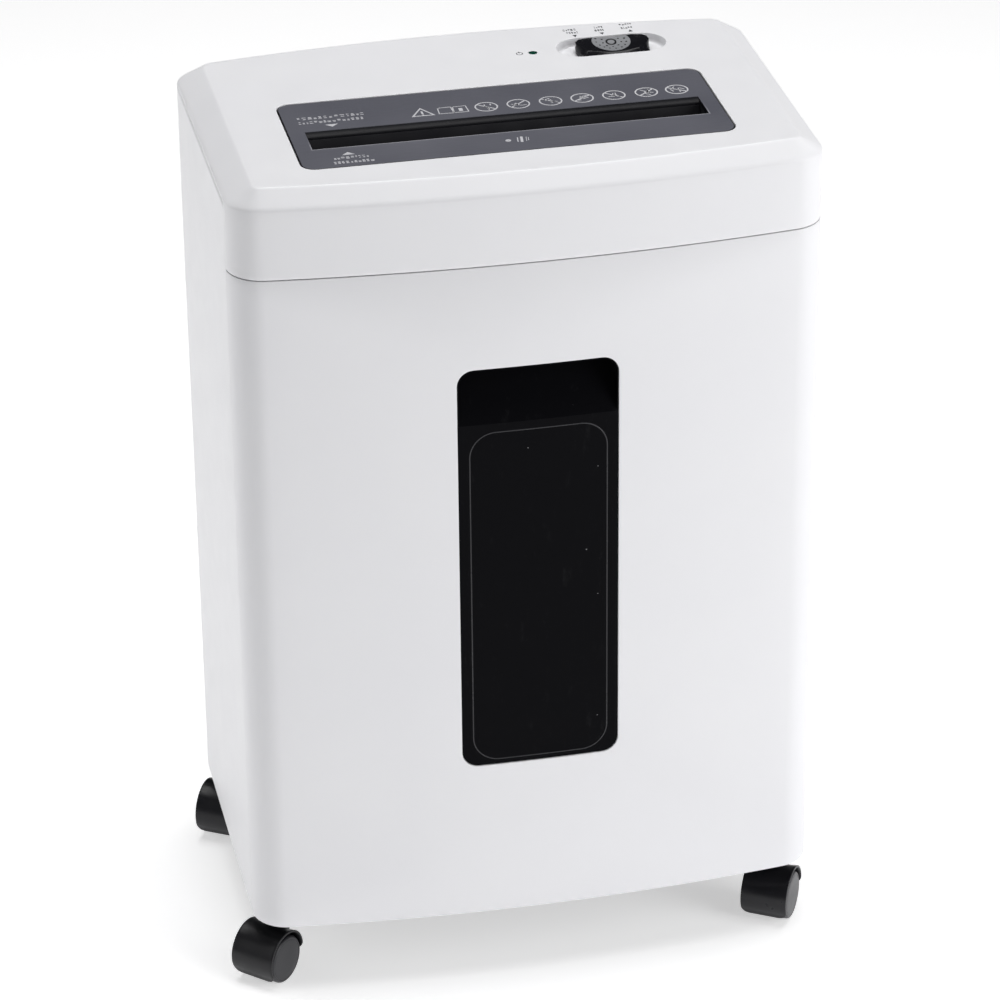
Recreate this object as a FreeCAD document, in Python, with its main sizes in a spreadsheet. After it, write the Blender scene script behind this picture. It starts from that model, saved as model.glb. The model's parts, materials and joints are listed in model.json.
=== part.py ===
import FreeCAD, Part
import math
import os
import re
import Sketcher
from fcgear import fcgear, involute

# Paper shredder on four casters: a cabinet with a pull-out bin below and a cutting head above.
# The origin is on the floor under the middle of the body, the front faces -Y and +Z is up.
# Lengths are millimetres and angles are degrees.

doc = FreeCAD.newDocument("PaperShredder")
sheet = doc.addObject("Spreadsheet::Sheet", "sheet")
workings = doc.addObject("Spreadsheet::Sheet", "workings")

dimensions = [
    # cabinet
    ("body_width", 332.4),
    ("half_depth", 112.0),
    ("front_bow", 11.5),
    ("back_bow", 14.0),
    ("front_corner", 18.0),
    ("back_corner", 10.0),
    ("wall", 2.5),
    ("body_bottom", 43.7),
    ("body_top", 507.3),
    ("bevel_height", 9.5),
    ("bevel_side", 14.7),
    ("bevel_front", 9.8),
    ("flat_corner", 4.0),
    ("side_seam", -83.0),
    ("seam_height", 456.7),
    ("seam_gap", 1.2),
    ("base_thick", 3.5),
    ("play", 0.3),
    # feed plate, slot and switch on top
    ("plate_half", 120.9),
    ("plate_front", -75.4),
    ("plate_back", 17.4),
    ("plate_corner", 8.0),
    ("plate_thick", 2.8),
    ("slot_half", 111.0),
    ("slot_front", -48.6),
    ("slot_back", -28.9),
    ("throat_gap", 6.8),
    ("switch_x", 81.8),
    ("switch_y", 62.0),
    ("recess_length", 64.0),
    ("recess_width", 28.0),
    ("recess_depth", 5.0),
    ("knob_length", 44.0),
    ("knob_width", 21.0),
    ("knob_x", 83.5),
    ("knob_rise", 1.4),
    ("knob_dip", 1.6),
    ("pad_half", 11.0),
    ("lens_x", 35.5),
    ("lens_y", 60.3),
    ("lens_radius", 2.5),
    ("board_top", 488.3),
    ("vent_first", 22.0),
    ("vent_half", 2.0),
    ("gland_x", -110.0),
    ("gland_z", 427.3),
    ("lever_x", 3.3),
    ("lever_y", -62.0),
    ("lever_drop", 17.0),
    # bin
    ("window_half", 45.6),
    ("window_bottom", 143.0),
    ("window_top", 395.0),
    ("window_corner", 9.5),
    ("grip_fold", 361.3),
    ("tub_half", 150.0),
    ("tub_front", -94.5),
    ("tub_back", 84.0),
    ("tub_bottom", 77.3),
    ("tub_top", 380.3),
    ("bin_screw_x", 100.0),
    ("bin_screw_low", 35.0),
    ("bin_screw_high", 265.0),
    ("bin_switch_x", -140.0),
    ("bin_switch_z", 399.3),
    # cutting head
    ("nip_y", -39.0),
    ("cutter_z", 442.3),
    ("cutter_spacing", 34.0),
    ("cutter_radius", 19.0),
    ("disc_thick", 3.6),
    ("disc_pitch", 8.0),
    ("disc_count", 28),
    ("shaft_radius", 8.0),
    ("journal_radius", 6.0),
    ("bush_radius", 9.0),
    ("running", 0.05),
    ("frame_inside", 118.0),
    ("frame_thick", 2.5),
    ("deck_top", 388.8),
    # gear train
    ("pressure_angle", 25.0),
    ("sync_module", 2.0),
    ("sync_teeth", 17),
    ("pinion_teeth", 12),
    ("output_module", 1.5),
    ("output_teeth", 40),
    ("second_module", 1.25),
    ("second_teeth", 44),
    ("first_module", 1.0),
    ("first_teeth", 54),
    ("second_angle", -22.6),
    ("first_angle", 36.9),
    ("motor_angle", -56.4),
    ("axle_radius", 3.0),
    ("motor_radius", 31.0),
    ("motor_left", 32.0),
    # casters
    ("stem_x", 151.8),
    ("stem_front", 75.8),
    ("stem_rear", 88.0),
    ("stem_radius", 4.0),
    ("trail", 9.5),
    ("wheel_radius", 14.5),
    ("hood_middle", 16.4),
    ("hood_radius", 16.7),
    ("hood_wall", 1.4),
    ("hood_half", 14.1),
    ("web_half", 2.2),
    ("yaw_front_left", 136.0),
    ("yaw_front_right", 148.0),
    ("yaw_rear_left", 148.0),
    ("yaw_rear_right", 222.0),
]
for number, (alias, amount) in enumerate(dimensions, 1):
    sheet.set("A%d" % number, alias.replace("_", " "))
    sheet.set("B%d" % number, str(amount))
    sheet.setAlias("B%d" % number, alias)
doc.recompute()
aliases = dict(dimensions)


def tied(text):
    # an expression in which each dimension's name points at its cell
    return re.sub(r"[a-z_]+", lambda word: ("sheet." if word[0] in aliases else "") + word[0], str(text))


def value(text):
    workings.set("A1", "=" + tied(text))
    workings.recompute()
    return float(workings.get("A1"))


def newBody(label):
    body = doc.addObject("PartDesign::Body", label)
    body.Label = label
    return body


def originPart(body, role):
    return next(part for part in body.Origin.OriginFeatures if part.Role == role)


planes = {"x": "YZ_Plane", "y": "XZ_Plane", "z": "XY_Plane"}


def newSketch(body, axis, height):
    # the XZ plane faces -Y, so its offset is counted backwards
    sketch = body.newObject("Sketcher::SketchObject", body.Label + "_sketch")
    sketch.AttachmentSupport = [(originPart(body, planes[axis]), "")]
    sketch.MapMode = "FlatFace"
    sign = "-1" if axis == "y" else "1"
    sketch.setExpression("AttachmentOffset.Base.z", tied("%s * (%s)" % (sign, height)))
    return sketch


def fixPoint(sketch, edge, end, across, up):
    for kind, text in (("DistanceX", across), ("DistanceY", up)):
        constraint = sketch.addConstraint(Sketcher.Constraint(kind, -1, 1, edge, end, value(text)))
        sketch.setExpression("Constraints[%d]" % constraint, tied(text))


def fixRadius(sketch, edge, text):
    constraint = sketch.addConstraint(Sketcher.Constraint("Radius", edge, value(text)))
    sketch.setExpression("Constraints[%d]" % constraint, tied(text))


def drawOutline(sketch, corners):
    # a corner is (across, up), or (across, up, radius, side) where an arc runs to the next corner
    # and side is 1 when the arc swells to the right of the way round, or -1 to the left
    spots = [FreeCAD.Vector(value(corner[0]), value(corner[1]), 0) for corner in corners]
    starts = []
    ends = []
    for number, corner in enumerate(corners):
        start = spots[number]
        finish = spots[(number + 1) % len(corners)]
        if len(corner) == 2:
            edge = sketch.addGeometry(Part.LineSegment(start, finish))
        else:
            radius = value(corner[2])
            chord = finish - start
            rise = radius - math.sqrt(max(radius ** 2 - chord.Length ** 2 / 4, 0))
            outward = FreeCAD.Vector(chord.y, -chord.x, 0).normalize() * rise * corner[3]
            edge = sketch.addGeometry(Part.Arc(start, (start + finish) * 0.5 + outward, finish))
        first = 1 if sketch.getPoint(edge, 1).distanceToPoint(start) < 1e-6 else 2
        starts.append(first)
        ends.append(3 - first)
    for number, corner in enumerate(corners):
        after = (number + 1) % len(corners)
        sketch.addConstraint(Sketcher.Constraint("Coincident", number, ends[number], after, starts[after]))
        fixPoint(sketch, number, starts[number], corner[0], corner[1])
        if len(corner) > 2:
            fixRadius(sketch, number, corner[2])


def sweep(body, axis, start, finish, draw, cut):
    # a pad or a pocket that fills the space from start to finish along the axis
    backwards = cut != (axis == "y")
    sketch = newSketch(body, axis, finish if backwards else start)
    draw(sketch)
    kind = "Pocket" if cut else "Pad"
    feature = body.newObject("PartDesign::" + kind, body.Label + "_" + kind.lower())
    feature.Profile = sketch
    feature.setExpression("Length", tied("(%s) - (%s)" % (finish, start)))
    return feature


def block(body, axis, start, finish, corners, cut=False):
    return sweep(body, axis, start, finish, lambda sketch: drawOutline(sketch, corners), cut)


def disc(body, axis, start, finish, centre, radius, cut=False):
    def draw(sketch):
        spot = FreeCAD.Vector(value(centre[0]), value(centre[1]), 0)
        sketch.addGeometry(Part.Circle(spot, FreeCAD.Vector(0, 0, 1), value(radius)))
        fixPoint(sketch, 0, 3, centre[0], centre[1])
        fixRadius(sketch, 0, radius)

    return sweep(body, axis, start, finish, draw, cut)


def box(low, high, bottom, top):
    return [(low, bottom), (high, bottom), (high, top), (low, top)]


def rounded(low, high, bottom, top, radius):
    # a rectangle with round corners
    return [
        ("%s + %s" % (low, radius), bottom),
        ("%s - %s" % (high, radius), bottom, radius, 1),
        (high, "%s + %s" % (bottom, radius)),
        (high, "%s - %s" % (top, radius), radius, 1),
        ("%s - %s" % (high, radius), top),
        ("%s + %s" % (low, radius), top, radius, 1),
        (low, "%s - %s" % (top, radius)),
        (low, "%s + %s" % (bottom, radius), radius, 1),
    ]


def around(x, y, length, width, radius):
    return rounded(
        "%s - %s/2" % (x, length), "%s + %s/2" % (x, length),
        "%s - %s/2" % (y, width), "%s + %s/2" % (y, width), radius,
    )


def repeat(body, features, axis, length, count):
    pattern = body.newObject("PartDesign::LinearPattern", body.Label + "_pattern")
    pattern.Originals = features
    pattern.Direction = (originPart(body, axis.upper() + "_Axis"), [""])
    pattern.setExpression("Length", tied(length))
    pattern.setExpression("Occurrences", tied(count))
    body.Tip = pattern
    return pattern


# The body in plan: straight sides, a front and a back that bow outwards, and round corners.
# The centres of the arcs stay where they are as the outline moves inwards.
front_arc = "(((body_width/2)^2 + front_bow^2) / (2*front_bow))"
back_arc = "(((body_width/2)^2 + back_bow^2) / (2*back_bow))"


def sideOf(facing, halfWidth, inset, corner):
    # one end of the plan: where the side stops, where the bow starts, and the bow's radius
    arc = front_arc if facing < 0 else back_arc
    centre = "(%d * (half_depth - %s))" % (facing, arc)
    reach = "(%s - %s - %s)" % (arc, inset, corner)
    middle = "(%s - %s)" % (halfWidth, corner)
    turn = "(%s + %d * sqrt(%s^2 - %s^2))" % (centre, facing, reach, middle)
    scale = "((%s - %s) / %s)" % (arc, inset, reach)
    bowX = "(%s * %s)" % (middle, scale)
    bowY = "(%s + (%s - %s) * %s)" % (centre, turn, centre, scale)
    return turn, bowX, bowY, "(%s - %s)" % (arc, inset)


def plan(halfWidth, inset, frontCorner, backCorner):
    frontTurn, frontX, frontY, frontRadius = sideOf(-1, halfWidth, inset, frontCorner)
    backTurn, backX, backY, backRadius = sideOf(1, halfWidth, inset, backCorner)
    return [
        ("-" + frontX, frontY, frontRadius, 1),
        (frontX, frontY, frontCorner, 1),
        (halfWidth, frontTurn),
        (halfWidth, backTurn, backCorner, 1),
        (backX, backY, backRadius, 1),
        ("-" + backX, backY, backCorner, 1),
        ("-" + halfWidth, backTurn),
        ("-" + halfWidth, frontTurn, frontCorner, 1),
    ]


def bodyPlan(inset):
    return plan(
        "(body_width/2 - %s)" % inset, inset,
        "(front_corner - %s)" % inset, "(back_corner - %s)" % inset,
    )


def frontAt(across, inset):
    # how far forward the front face is at one place across the body
    return "(-half_depth + %s - sqrt((%s - %s)^2 - (%s)^2))" % (front_arc, front_arc, inset, across)


ridge = "(body_top - bevel_height)"
half = "(body_width/2)"


def topCover():
    body = newBody("top_cover")
    low = newSketch(body, "z", ridge)
    drawOutline(low, bodyPlan("0"))
    high = newSketch(body, "z", "body_top")
    drawOutline(high, plan("(body_width/2 - bevel_side)", "bevel_front", "flat_corner", "flat_corner"))
    loft = body.newObject("PartDesign::AdditiveLoft", "top_cover_bevel")
    loft.Profile = low
    loft.Sections = [high]
    loft.Ruled = True
    block(body, "z", "seam_height + seam_gap/2", ridge, bodyPlan("0"))
    block(body, "z", "seam_height", ridge + " - wall", bodyPlan("wall"), cut=True)
    block(body, "z", "seam_height", ridge, box("-200", "200", "side_seam + play/2", "200"), cut=True)
    hollow = plan("(body_width/2 - bevel_side - 1)", "(bevel_front + 2)", "flat_corner", "flat_corner")
    block(body, "z", ridge + " - 5", "body_top - 2.7", hollow, cut=True)
    boss = around(
        "switch_x", "switch_y", "(recess_length + 5)", "(recess_width + 5)", "(recess_width/2 + 2.4)")
    block(body, "z", "body_top - recess_depth - wall", "body_top - 1", boss)
    for x, y in boardPosts:
        disc(body, "z", "board_top", "body_top - 1", (x, y), "3")
    recess = around("switch_x", "switch_y", "recess_length", "recess_width", "(recess_width/2 - 0.05)")
    block(body, "z", "body_top - recess_depth", "body_top + 1", recess, cut=True)
    slot = around("switch_x", "switch_y", "28", "5", "2.4")
    block(body, "z", "body_top - 20", "body_top", slot, cut=True)
    plate = rounded("-plate_half", "plate_half", "plate_front", "plate_back", "plate_corner")
    block(body, "z", "body_top - 20", "body_top + 1", plate, cut=True)
    disc(body, "z", "body_top - 20", "body_top + 1", ("lens_x", "lens_y"), "lens_radius", cut=True)


def panelPlan(side):
    # a side wall and its round back corner, from the seam at the front to where the back starts
    turn, bowX, bowY, radius = sideOf(1, half, "0", "back_corner")
    innerTurn, innerX, innerY, innerRadius = sideOf(
        1, "(body_width/2 - wall)", "wall", "(back_corner - wall)")
    sign = "" if side > 0 else "-"
    return [
        (sign + half, "side_seam + play/2"),
        (sign + half, turn, "back_corner", side),
        (sign + bowX, bowY),
        (sign + innerX, innerY, "(back_corner - wall)", -side),
        (sign + "(body_width/2 - wall)", innerTurn),
        (sign + "(body_width/2 - wall)", "side_seam + play/2"),
    ]


def sidePanels():
    for side, label in ((-1, "side_panel_left"), (1, "side_panel_right")):
        body = newBody(label)
        block(body, "z", "body_bottom", ridge, panelPlan(side))


def backPanel():
    body = newBody("back_panel")
    turn, bowX, bowY, radius = sideOf(1, half, "0", "back_corner")
    innerTurn, innerX, innerY, innerRadius = sideOf(
        1, "(body_width/2 - wall)", "wall", "(back_corner - wall)")
    outline = [
        (bowX, bowY, radius, 1),
        ("-" + bowX, bowY),
        ("-" + innerX, innerY, innerRadius, -1),
        (innerX, innerY),
    ]
    block(body, "z", "body_bottom", ridge, outline)
    low, high = "cutter_z - 40", "cutter_z + 6"
    slot = rounded("vent_first - vent_half", "vent_first + vent_half", low, high, "(vent_half - 0.1)")
    vent = block(body, "y", "half_depth - 22", "half_depth + 8", slot, cut=True)
    repeat(body, [vent], "x", "84", "13")
    disc(body, "y", "104.8", "120", ("gland_x", "gland_z"), "11.5", cut=True)
    disc(body, "y", "90", "120", ("gland_x", "gland_z"), "8", cut=True)


def basePlate():
    body = newBody("base_plate")
    inset = "(wall + 1.5)"
    floor = plan("(body_width/2 - wall)", inset, "(front_corner - 4)", "(back_corner - 4)")
    block(body, "z", "body_bottom", "body_bottom + base_thick", floor)
    for x in ("-125", "119"):
        rail = box(x, x + " + 6", "-90", "84")
        block(body, "z", "body_bottom + 1", "tub_bottom - play", rail)
    corners = [(x, y) for x in ("-stem_x", "stem_x") for y in ("-stem_front", "stem_rear")]
    for corner in corners:
        disc(body, "z", "body_bottom + 1", "body_bottom + 28", corner, "stem_radius + 3")
    for corner in corners:
        disc(body, "z", "body_bottom - 1", "body_bottom + 26", corner, "stem_radius + running", cut=True)


def feedPlate():
    body = newBody("feed_plate")
    edge = rounded(
        "-(plate_half - 0.4)", "(plate_half - 0.4)",
        "(plate_front + 0.4)", "(plate_back - 0.4)", "(plate_corner - 0.4)",
    )
    block(body, "z", "body_top - plate_thick - 0.2", "body_top - 0.2", edge)
    mouth = box("-slot_half", "slot_half", "slot_front", "slot_back")
    block(body, "z", "body_top - 10", "body_top", mouth, cut=True)


chute_top = "(body_top - plate_thick - 0.2)"
lever_z = "(body_top - lever_drop)"


def paperChute():
    body = newBody("paper_chute")
    flange = rounded("-126", "126", "(plate_front - 6)", "(plate_back + 6)", "6")
    block(body, "z", chute_top + " - 2.5", chute_top, flange)
    walls = [
        ("nip_y - 7.5", "body_top - 42"), ("nip_y + 7.5", "body_top - 42"),
        ("nip_y + 14.5", "body_top - 4"), ("nip_y - 14", "body_top - 4"),
    ]
    block(body, "x", "-(slot_half + 3)", "slot_half + 3", walls)
    funnel = [
        ("nip_y - throat_gap/2", "body_top - 45"),
        ("nip_y + throat_gap/2", "body_top - 45"),
        ("nip_y + throat_gap/2", "body_top - 23"),
        ("slot_back", chute_top + " + 1"),
        ("slot_front", chute_top + " + 1"),
        ("nip_y - throat_gap/2", "body_top - 23"),
    ]
    block(body, "x", "-slot_half", "slot_half", funnel, cut=True)
    for start in ("lever_x - 5", "lever_x + 2.6"):
        ear = box("lever_y - 5", "lever_y + 4", lever_z + " - 5", chute_top + " - 1")
        block(body, "x", start, start + " + 2.4", ear)
    notch = box("lever_y + 5", "nip_y", lever_z + " - 15", lever_z + " + 10")
    block(body, "x", "lever_x - 2.6", "lever_x + 2.6", notch, cut=True)
    disc(body, "x", "lever_x - 6", "lever_x + 6", ("lever_y", lever_z), "1.5 + running", cut=True)


def paperLever():
    # a rocking lever on two short trunnions: its tip lies across the paper's way
    body = newBody("paper_lever")
    disc(body, "x", "lever_x - 4.8", "lever_x + 4.8", ("lever_y", lever_z), "1.5")
    shape = [
        (-7, -1.5), (0, -3.5), (12, -4), (23.6, -2.4), (23.6, -0.6), (12, 0.5), (2, 3), (-7, 1),
    ]
    arm = [("lever_y + %s" % along, lever_z + " + %s" % up) for along, up in shape]
    block(body, "x", "lever_x - 2.1", "lever_x + 2.1", arm)


def paperSwitch():
    body = newBody("paper_switch")
    case = box("lever_y - 19", "lever_y - 6", lever_z + " + 5", chute_top + " - 2.5")
    block(body, "x", "lever_x - 6.4", "lever_x + 6.4", case)
    disc(body, "z", lever_z + " + 4", lever_z + " + 6", ("lever_x", "lever_y - 8"), "1")


boardPosts = [("-40", "47"), ("-40", "83"), ("43", "47"), ("43", "83")]


def controlBoard():
    body = newBody("control_board")
    block(body, "z", "board_top - 1.6", "board_top", box("-45", "48", "42", "88"))
    block(body, "z", "board_top - 0.5", "board_top + 11", box("-30", "-12", "52", "67"))
    block(body, "z", "board_top - 0.5", "board_top + 9", box("-6", "7", "50", "62"))
    disc(body, "z", "board_top - 0.5", "board_top + 13", ("-22", "77"), "5.5")
    disc(body, "z", "board_top - 0.5", "board_top + 10", ("14", "76"), "4")
    block(body, "z", "board_top - 0.5", "board_top + 8", box("-2", "8", "69", "83"))
    block(body, "z", "board_top - 0.5", "body_top - 11", box("33.5", "37.5", "58.3", "62.3"))


def powerLens():
    body = newBody("power_lens")
    disc(body, "z", "body_top - 11", "body_top + 0.2", ("lens_x", "lens_y"), "lens_radius - 0.1")


def modeSwitch():
    body = newBody("mode_switch")
    top = "body_top - recess_depth - wall"
    block(body, "z", top + " - 18", top, around("switch_x", "switch_y", "38", "16", "1"))
    block(body, "z", top + " - 13", top + " + 1", around("switch_x", "switch_y", "28", "5", "2.4"), cut=True)


def modeKnob():
    body = newBody("mode_knob")
    low = "(body_top - recess_depth + 0.4)"
    high = "(body_top + knob_rise)"
    left = "(knob_x - knob_length/2)"
    right = "(knob_x + knob_length/2)"
    saddle = "(((knob_length/2 - 4)^2 + knob_dip^2) / (2*knob_dip))"
    side = [
        (left, low), (right, low), (right, high + " - 2.5"), (right + " - 4", high, saddle, -1),
        (left + " + 4", high), (left, high + " - 2.5"),
    ]
    front = "(switch_y - knob_width/2)"
    back = "(switch_y + knob_width/2)"
    block(body, "y", front, back, side)
    block(body, "z", "body_top - 18", low + " + 1", around("knob_x", "switch_y", "6", "4", "1"))
    # the foot has round ends, so that it passes into the round ends of the recess
    frame = box("knob_x - 40", "knob_x + 40", "switch_y - 30", "switch_y + 30")
    foot = around("knob_x", "switch_y", "knob_length", "knob_width", "(knob_width/2 - 0.05)")
    sweep(body, "z", low, "body_top + play", lambda sketch: drawRing(sketch, frame, foot), True)
    block(body, "z", high + " - knob_dip - 1.2", high + " + 5", padPlan(), cut=True)


def padPlan():
    # a round finger pad whose back edge is cut straight
    centre = "(switch_y + 3.6)"
    chord = "(switch_y + 9.1)"
    reach = "sqrt(pad_half^2 - (%s - %s)^2)" % (chord, centre)
    return [
        ("knob_x + " + reach, chord),
        ("knob_x - " + reach, chord, "pad_half", 1),
        ("knob_x - pad_half", centre, "pad_half", 1),
        ("knob_x", centre + " - pad_half", "pad_half", 1),
        ("knob_x + pad_half", centre, "pad_half", 1),
    ]


def knobPad():
    body = newBody("knob_pad")
    seat = "(body_top + knob_rise - knob_dip - 1.2)"
    block(body, "z", seat, seat + " + 2", padPlan())


binScrewPlaces = [
    (x, z) for x in ("-bin_screw_x", "bin_screw_x")
    for z in ("(tub_bottom + bin_screw_low)", "(tub_bottom + bin_screw_high)")
]


def binFront():
    body = newBody("bin_front")
    outer = bodyPlan("0")
    inner = bodyPlan("wall")
    seam = "(side_seam - play/2)"
    innerHalf = "(body_width/2 - wall)"
    corner = "(front_corner - wall)"
    outline = [
        ("-" + half, seam),
        ("-" + half, outer[7][1], "front_corner", 1),
        outer[0],
        outer[1],
        (half, outer[2][1]),
        (half, seam),
        (innerHalf, seam),
        (innerHalf, inner[2][1], corner, -1),
        (inner[1][0], inner[1][1], inner[0][2], -1),
        (inner[0][0], inner[0][1], corner, -1),
        ("-" + innerHalf, inner[7][1]),
        ("-" + innerHalf, seam),
    ]
    block(body, "z", "body_bottom", "seam_height - seam_gap/2", outline)
    for place in binScrewPlaces:
        disc(body, "y", frontAt("(bin_screw_x + 6)", "wall") + " - 1", "tub_front", place, "5")
        disc(body, "y", "tub_front - 7.5", "tub_front + 1", place, "1.75", cut=True)
    tab = box("bin_switch_x - 3", "bin_switch_x + 3", "bin_switch_z - 5", "bin_switch_z + 5")
    block(body, "y", frontAt("(bin_switch_x - 3)", "wall") + " - 1.5", "tub_front - 4.5", tab)
    window = rounded("-window_half", "window_half", "window_bottom", "window_top", "window_corner")
    block(body, "y", "-125", "-101", window, cut=True)


def binWindow():
    body = newBody("bin_window")
    edge = "(window_half - 0.2)"
    curve = [
        ("-" + edge, frontAt(edge, "0.3"), "(%s - 0.3)" % front_arc, 1),
        (edge, frontAt(edge, "0.3")),
        (edge, frontAt(edge, "3"), "(%s - 3)" % front_arc, -1),
        ("-" + edge, frontAt(edge, "3")),
    ]
    block(body, "z", "window_bottom + 0.2", "window_top - 0.2", curve)
    grip = [
        ("-109.5", "grip_fold - 8"), ("-105.5", "grip_fold - 8"), ("-89.5", "grip_fold + 17"),
        ("-89.5", "window_top - 1"), ("-109.5", "window_top - 1"),
    ]
    block(body, "x", "-42.5", "42.5", grip)
    scoop = [
        ("-125", "grip_fold"), ("-111", "grip_fold"), ("-106", "grip_fold + 2"), ("-92", "grip_fold + 19"),
        ("-92", "window_top - 3.5"), ("-125", "window_top - 3.5"),
    ]
    block(body, "x", "-40", "40", scoop, cut=True)
    trim = rounded("-" + edge, edge, "(window_bottom + 0.2)", "(window_top - 0.2)", "(window_corner - 0.2)")
    frame = box("-60", "60", "window_bottom - 20", "window_top + 20")
    sweep(body, "y", "-125", "-85", lambda sketch: drawRing(sketch, frame, trim), True)


def drawRing(sketch, outside, inside):
    # everything between two outlines
    drawOutline(sketch, outside)
    spare = doc.addObject("Sketcher::SketchObject", "spare")
    drawOutline(spare, inside)
    offset = len(outside)
    for geometry in spare.Geometry:
        sketch.addGeometry(geometry)
    for index, constraint in enumerate(spare.Constraints):
        second = constraint.Second
        first = constraint.First
        if constraint.Type == "Coincident":
            sketch.addConstraint(Sketcher.Constraint(
                "Coincident", first + offset, constraint.FirstPos, second + offset, constraint.SecondPos))
    for number, corner in enumerate(inside):
        place = spare.getPoint(number, 1)
        wanted = FreeCAD.Vector(value(corner[0]), value(corner[1]), 0)
        end = 1 if place.distanceToPoint(wanted) < 1e-3 else 2
        fixPoint(sketch, number + offset, end, corner[0], corner[1])
        if len(corner) > 2:
            fixRadius(sketch, number + offset, corner[2])
    doc.removeObject(spare.Name)


def binTub():
    body = newBody("bin_tub")
    outer = rounded("-tub_half", "tub_half", "tub_front", "tub_back", "12")
    block(body, "z", "tub_bottom", "tub_top", outer)
    inner = rounded(
        "-(tub_half - wall)", "(tub_half - wall)", "(tub_front + wall)", "(tub_back - wall)", "9.5")
    block(body, "z", "tub_bottom + wall", "tub_top + 1", inner, cut=True)
    block(body, "y", "-100", "-88", box("-52", "52", "tub_bottom + 45", "tub_top + 1"), cut=True)
    for place in binScrewPlaces:
        disc(body, "y", "-100", "-88", place, "1.75", cut=True)


def cylinder(label, axis, start, finish, across, up, radius):
    # a plain round bar along X or Y, for pieces that are turned or drawn
    bar = doc.addObject("Part::Cylinder", label)
    bar.setExpression("Radius", tied(radius))
    bar.setExpression("Height", tied("(%s) - (%s)" % (finish, start)))
    if axis == "x":
        bar.Placement.Rotation = FreeCAD.Rotation(FreeCAD.Vector(0, 1, 0), 90)
        places = (start, across, up)
    else:
        bar.Placement.Rotation = FreeCAD.Rotation(FreeCAD.Vector(1, 0, 0), -90)
        places = (across, start, up)
    for name, text in zip("xyz", places):
        bar.setExpression("Placement.Base." + name, tied(text))
    return bar


def group(label, members):
    gathered = doc.addObject("Part::Compound", label)
    gathered.Label = label
    gathered.Links = members
    return gathered


def fused(label, members):
    joined = doc.addObject("Part::MultiFuse", label)
    joined.Label = label
    joined.Shapes = members
    return joined


def binScrews():
    screws = []
    for number, (x, z) in enumerate(binScrewPlaces):
        head = cylinder("bin_screw_head", "y", "tub_front + wall", "tub_front + wall + 2.4", x, z, "3.5")
        shank = cylinder("bin_screw_shank", "y", "tub_front - 6.5", "tub_front + wall", x, z, "1.7")
        screws.append(fused("bin_screw_%d" % (number + 1), [head, shank]))
    group("bin_screws", screws)


def headTray():
    body = newBody("head_tray")
    inside = "(body_width/2 - wall - 0.1)"
    deck = [
        ("-" + inside, "-80"), ("-150", "-97"), ("150", "-97"), (inside, "-80"),
        (inside, "88"), ("150", "94"), ("-150", "94"), ("-" + inside, "88"),
    ]
    block(body, "z", "deck_top - wall", "deck_top", deck)
    block(body, "z", "deck_top - 5", "deck_top + 5", box("-112", "112", "-80", "2"), cut=True)
    block(body, "z", "deck_top - 1", "cutter_z + 38", box("-150", "150", "-97", "tub_front"))
    disc(body, "y", "-98", "-90", ("bin_switch_x", "bin_switch_z"), "2.6", cut=True)
    grip = box("-window_half", "window_half", "-100", "-87")
    block(body, "z", "deck_top - 5", "window_top + 1", grip, cut=True)


def binSwitch():
    body = newBody("bin_switch")
    case = box("bin_switch_x - 10", "bin_switch_x + 10", "tub_front", "tub_front + 10")
    block(body, "z", "bin_switch_z - 6", "bin_switch_z + 6", case)
    well = ("bin_switch_x", "bin_switch_z")
    disc(body, "y", "tub_front - 1", "tub_front + 7.5", well, "2.1", cut=True)


def binPlunger():
    body = newBody("bin_plunger")
    disc(body, "y", "tub_front - 4.3", "tub_front + 5.5", ("bin_switch_x", "bin_switch_z"), "2")


front_shaft = "(nip_y - cutter_spacing/2)"
rear_shaft = "(nip_y + cutter_spacing/2)"


def cutter(label, y, first, count, steps):
    body = newBody(label)
    disc(body, "x", "-116", "116", (y, "cutter_z"), "shaft_radius")
    for start, finish in steps:
        disc(body, "x", start, finish, (y, "cutter_z"), "journal_radius")
    corners = []
    hooks = 3
    for hook in range(hooks):
        turn = 360 / hooks * hook
        for angle, radius, extra in (
            (turn, "cutter_radius", ("cutter_radius", 1)),
            (turn + 52, "cutter_radius", ("cutter_radius", 1)),
            (turn + 104, "cutter_radius", ()),
            (turn + 106, "(cutter_radius - 4)", ()),
        ):
            across = "%s + %s * cos(%.1f deg)" % (y, radius, angle)
            up = "cutter_z + %s * sin(%.1f deg)" % (radius, angle)
            corners.append((across, up) + extra)
    blade = block(body, "x", first, first + " + disc_thick", corners)
    repeat(body, [blade], "x", "disc_pitch * (%s - 1)" % count, count)


def cutters():
    frontStart = "(-disc_pitch * (disc_count - 1) / 2 - disc_thick / 2)"
    cutter("cutter_front", front_shaft, frontStart, "disc_count", [("-135", "-115"), ("115", "126")])
    rearStart = "(%s + disc_pitch / 2)" % frontStart
    cutter("cutter_rear", rear_shaft, rearStart, "(disc_count - 1)", [("-135", "-115"), ("115", "156")])


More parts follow.
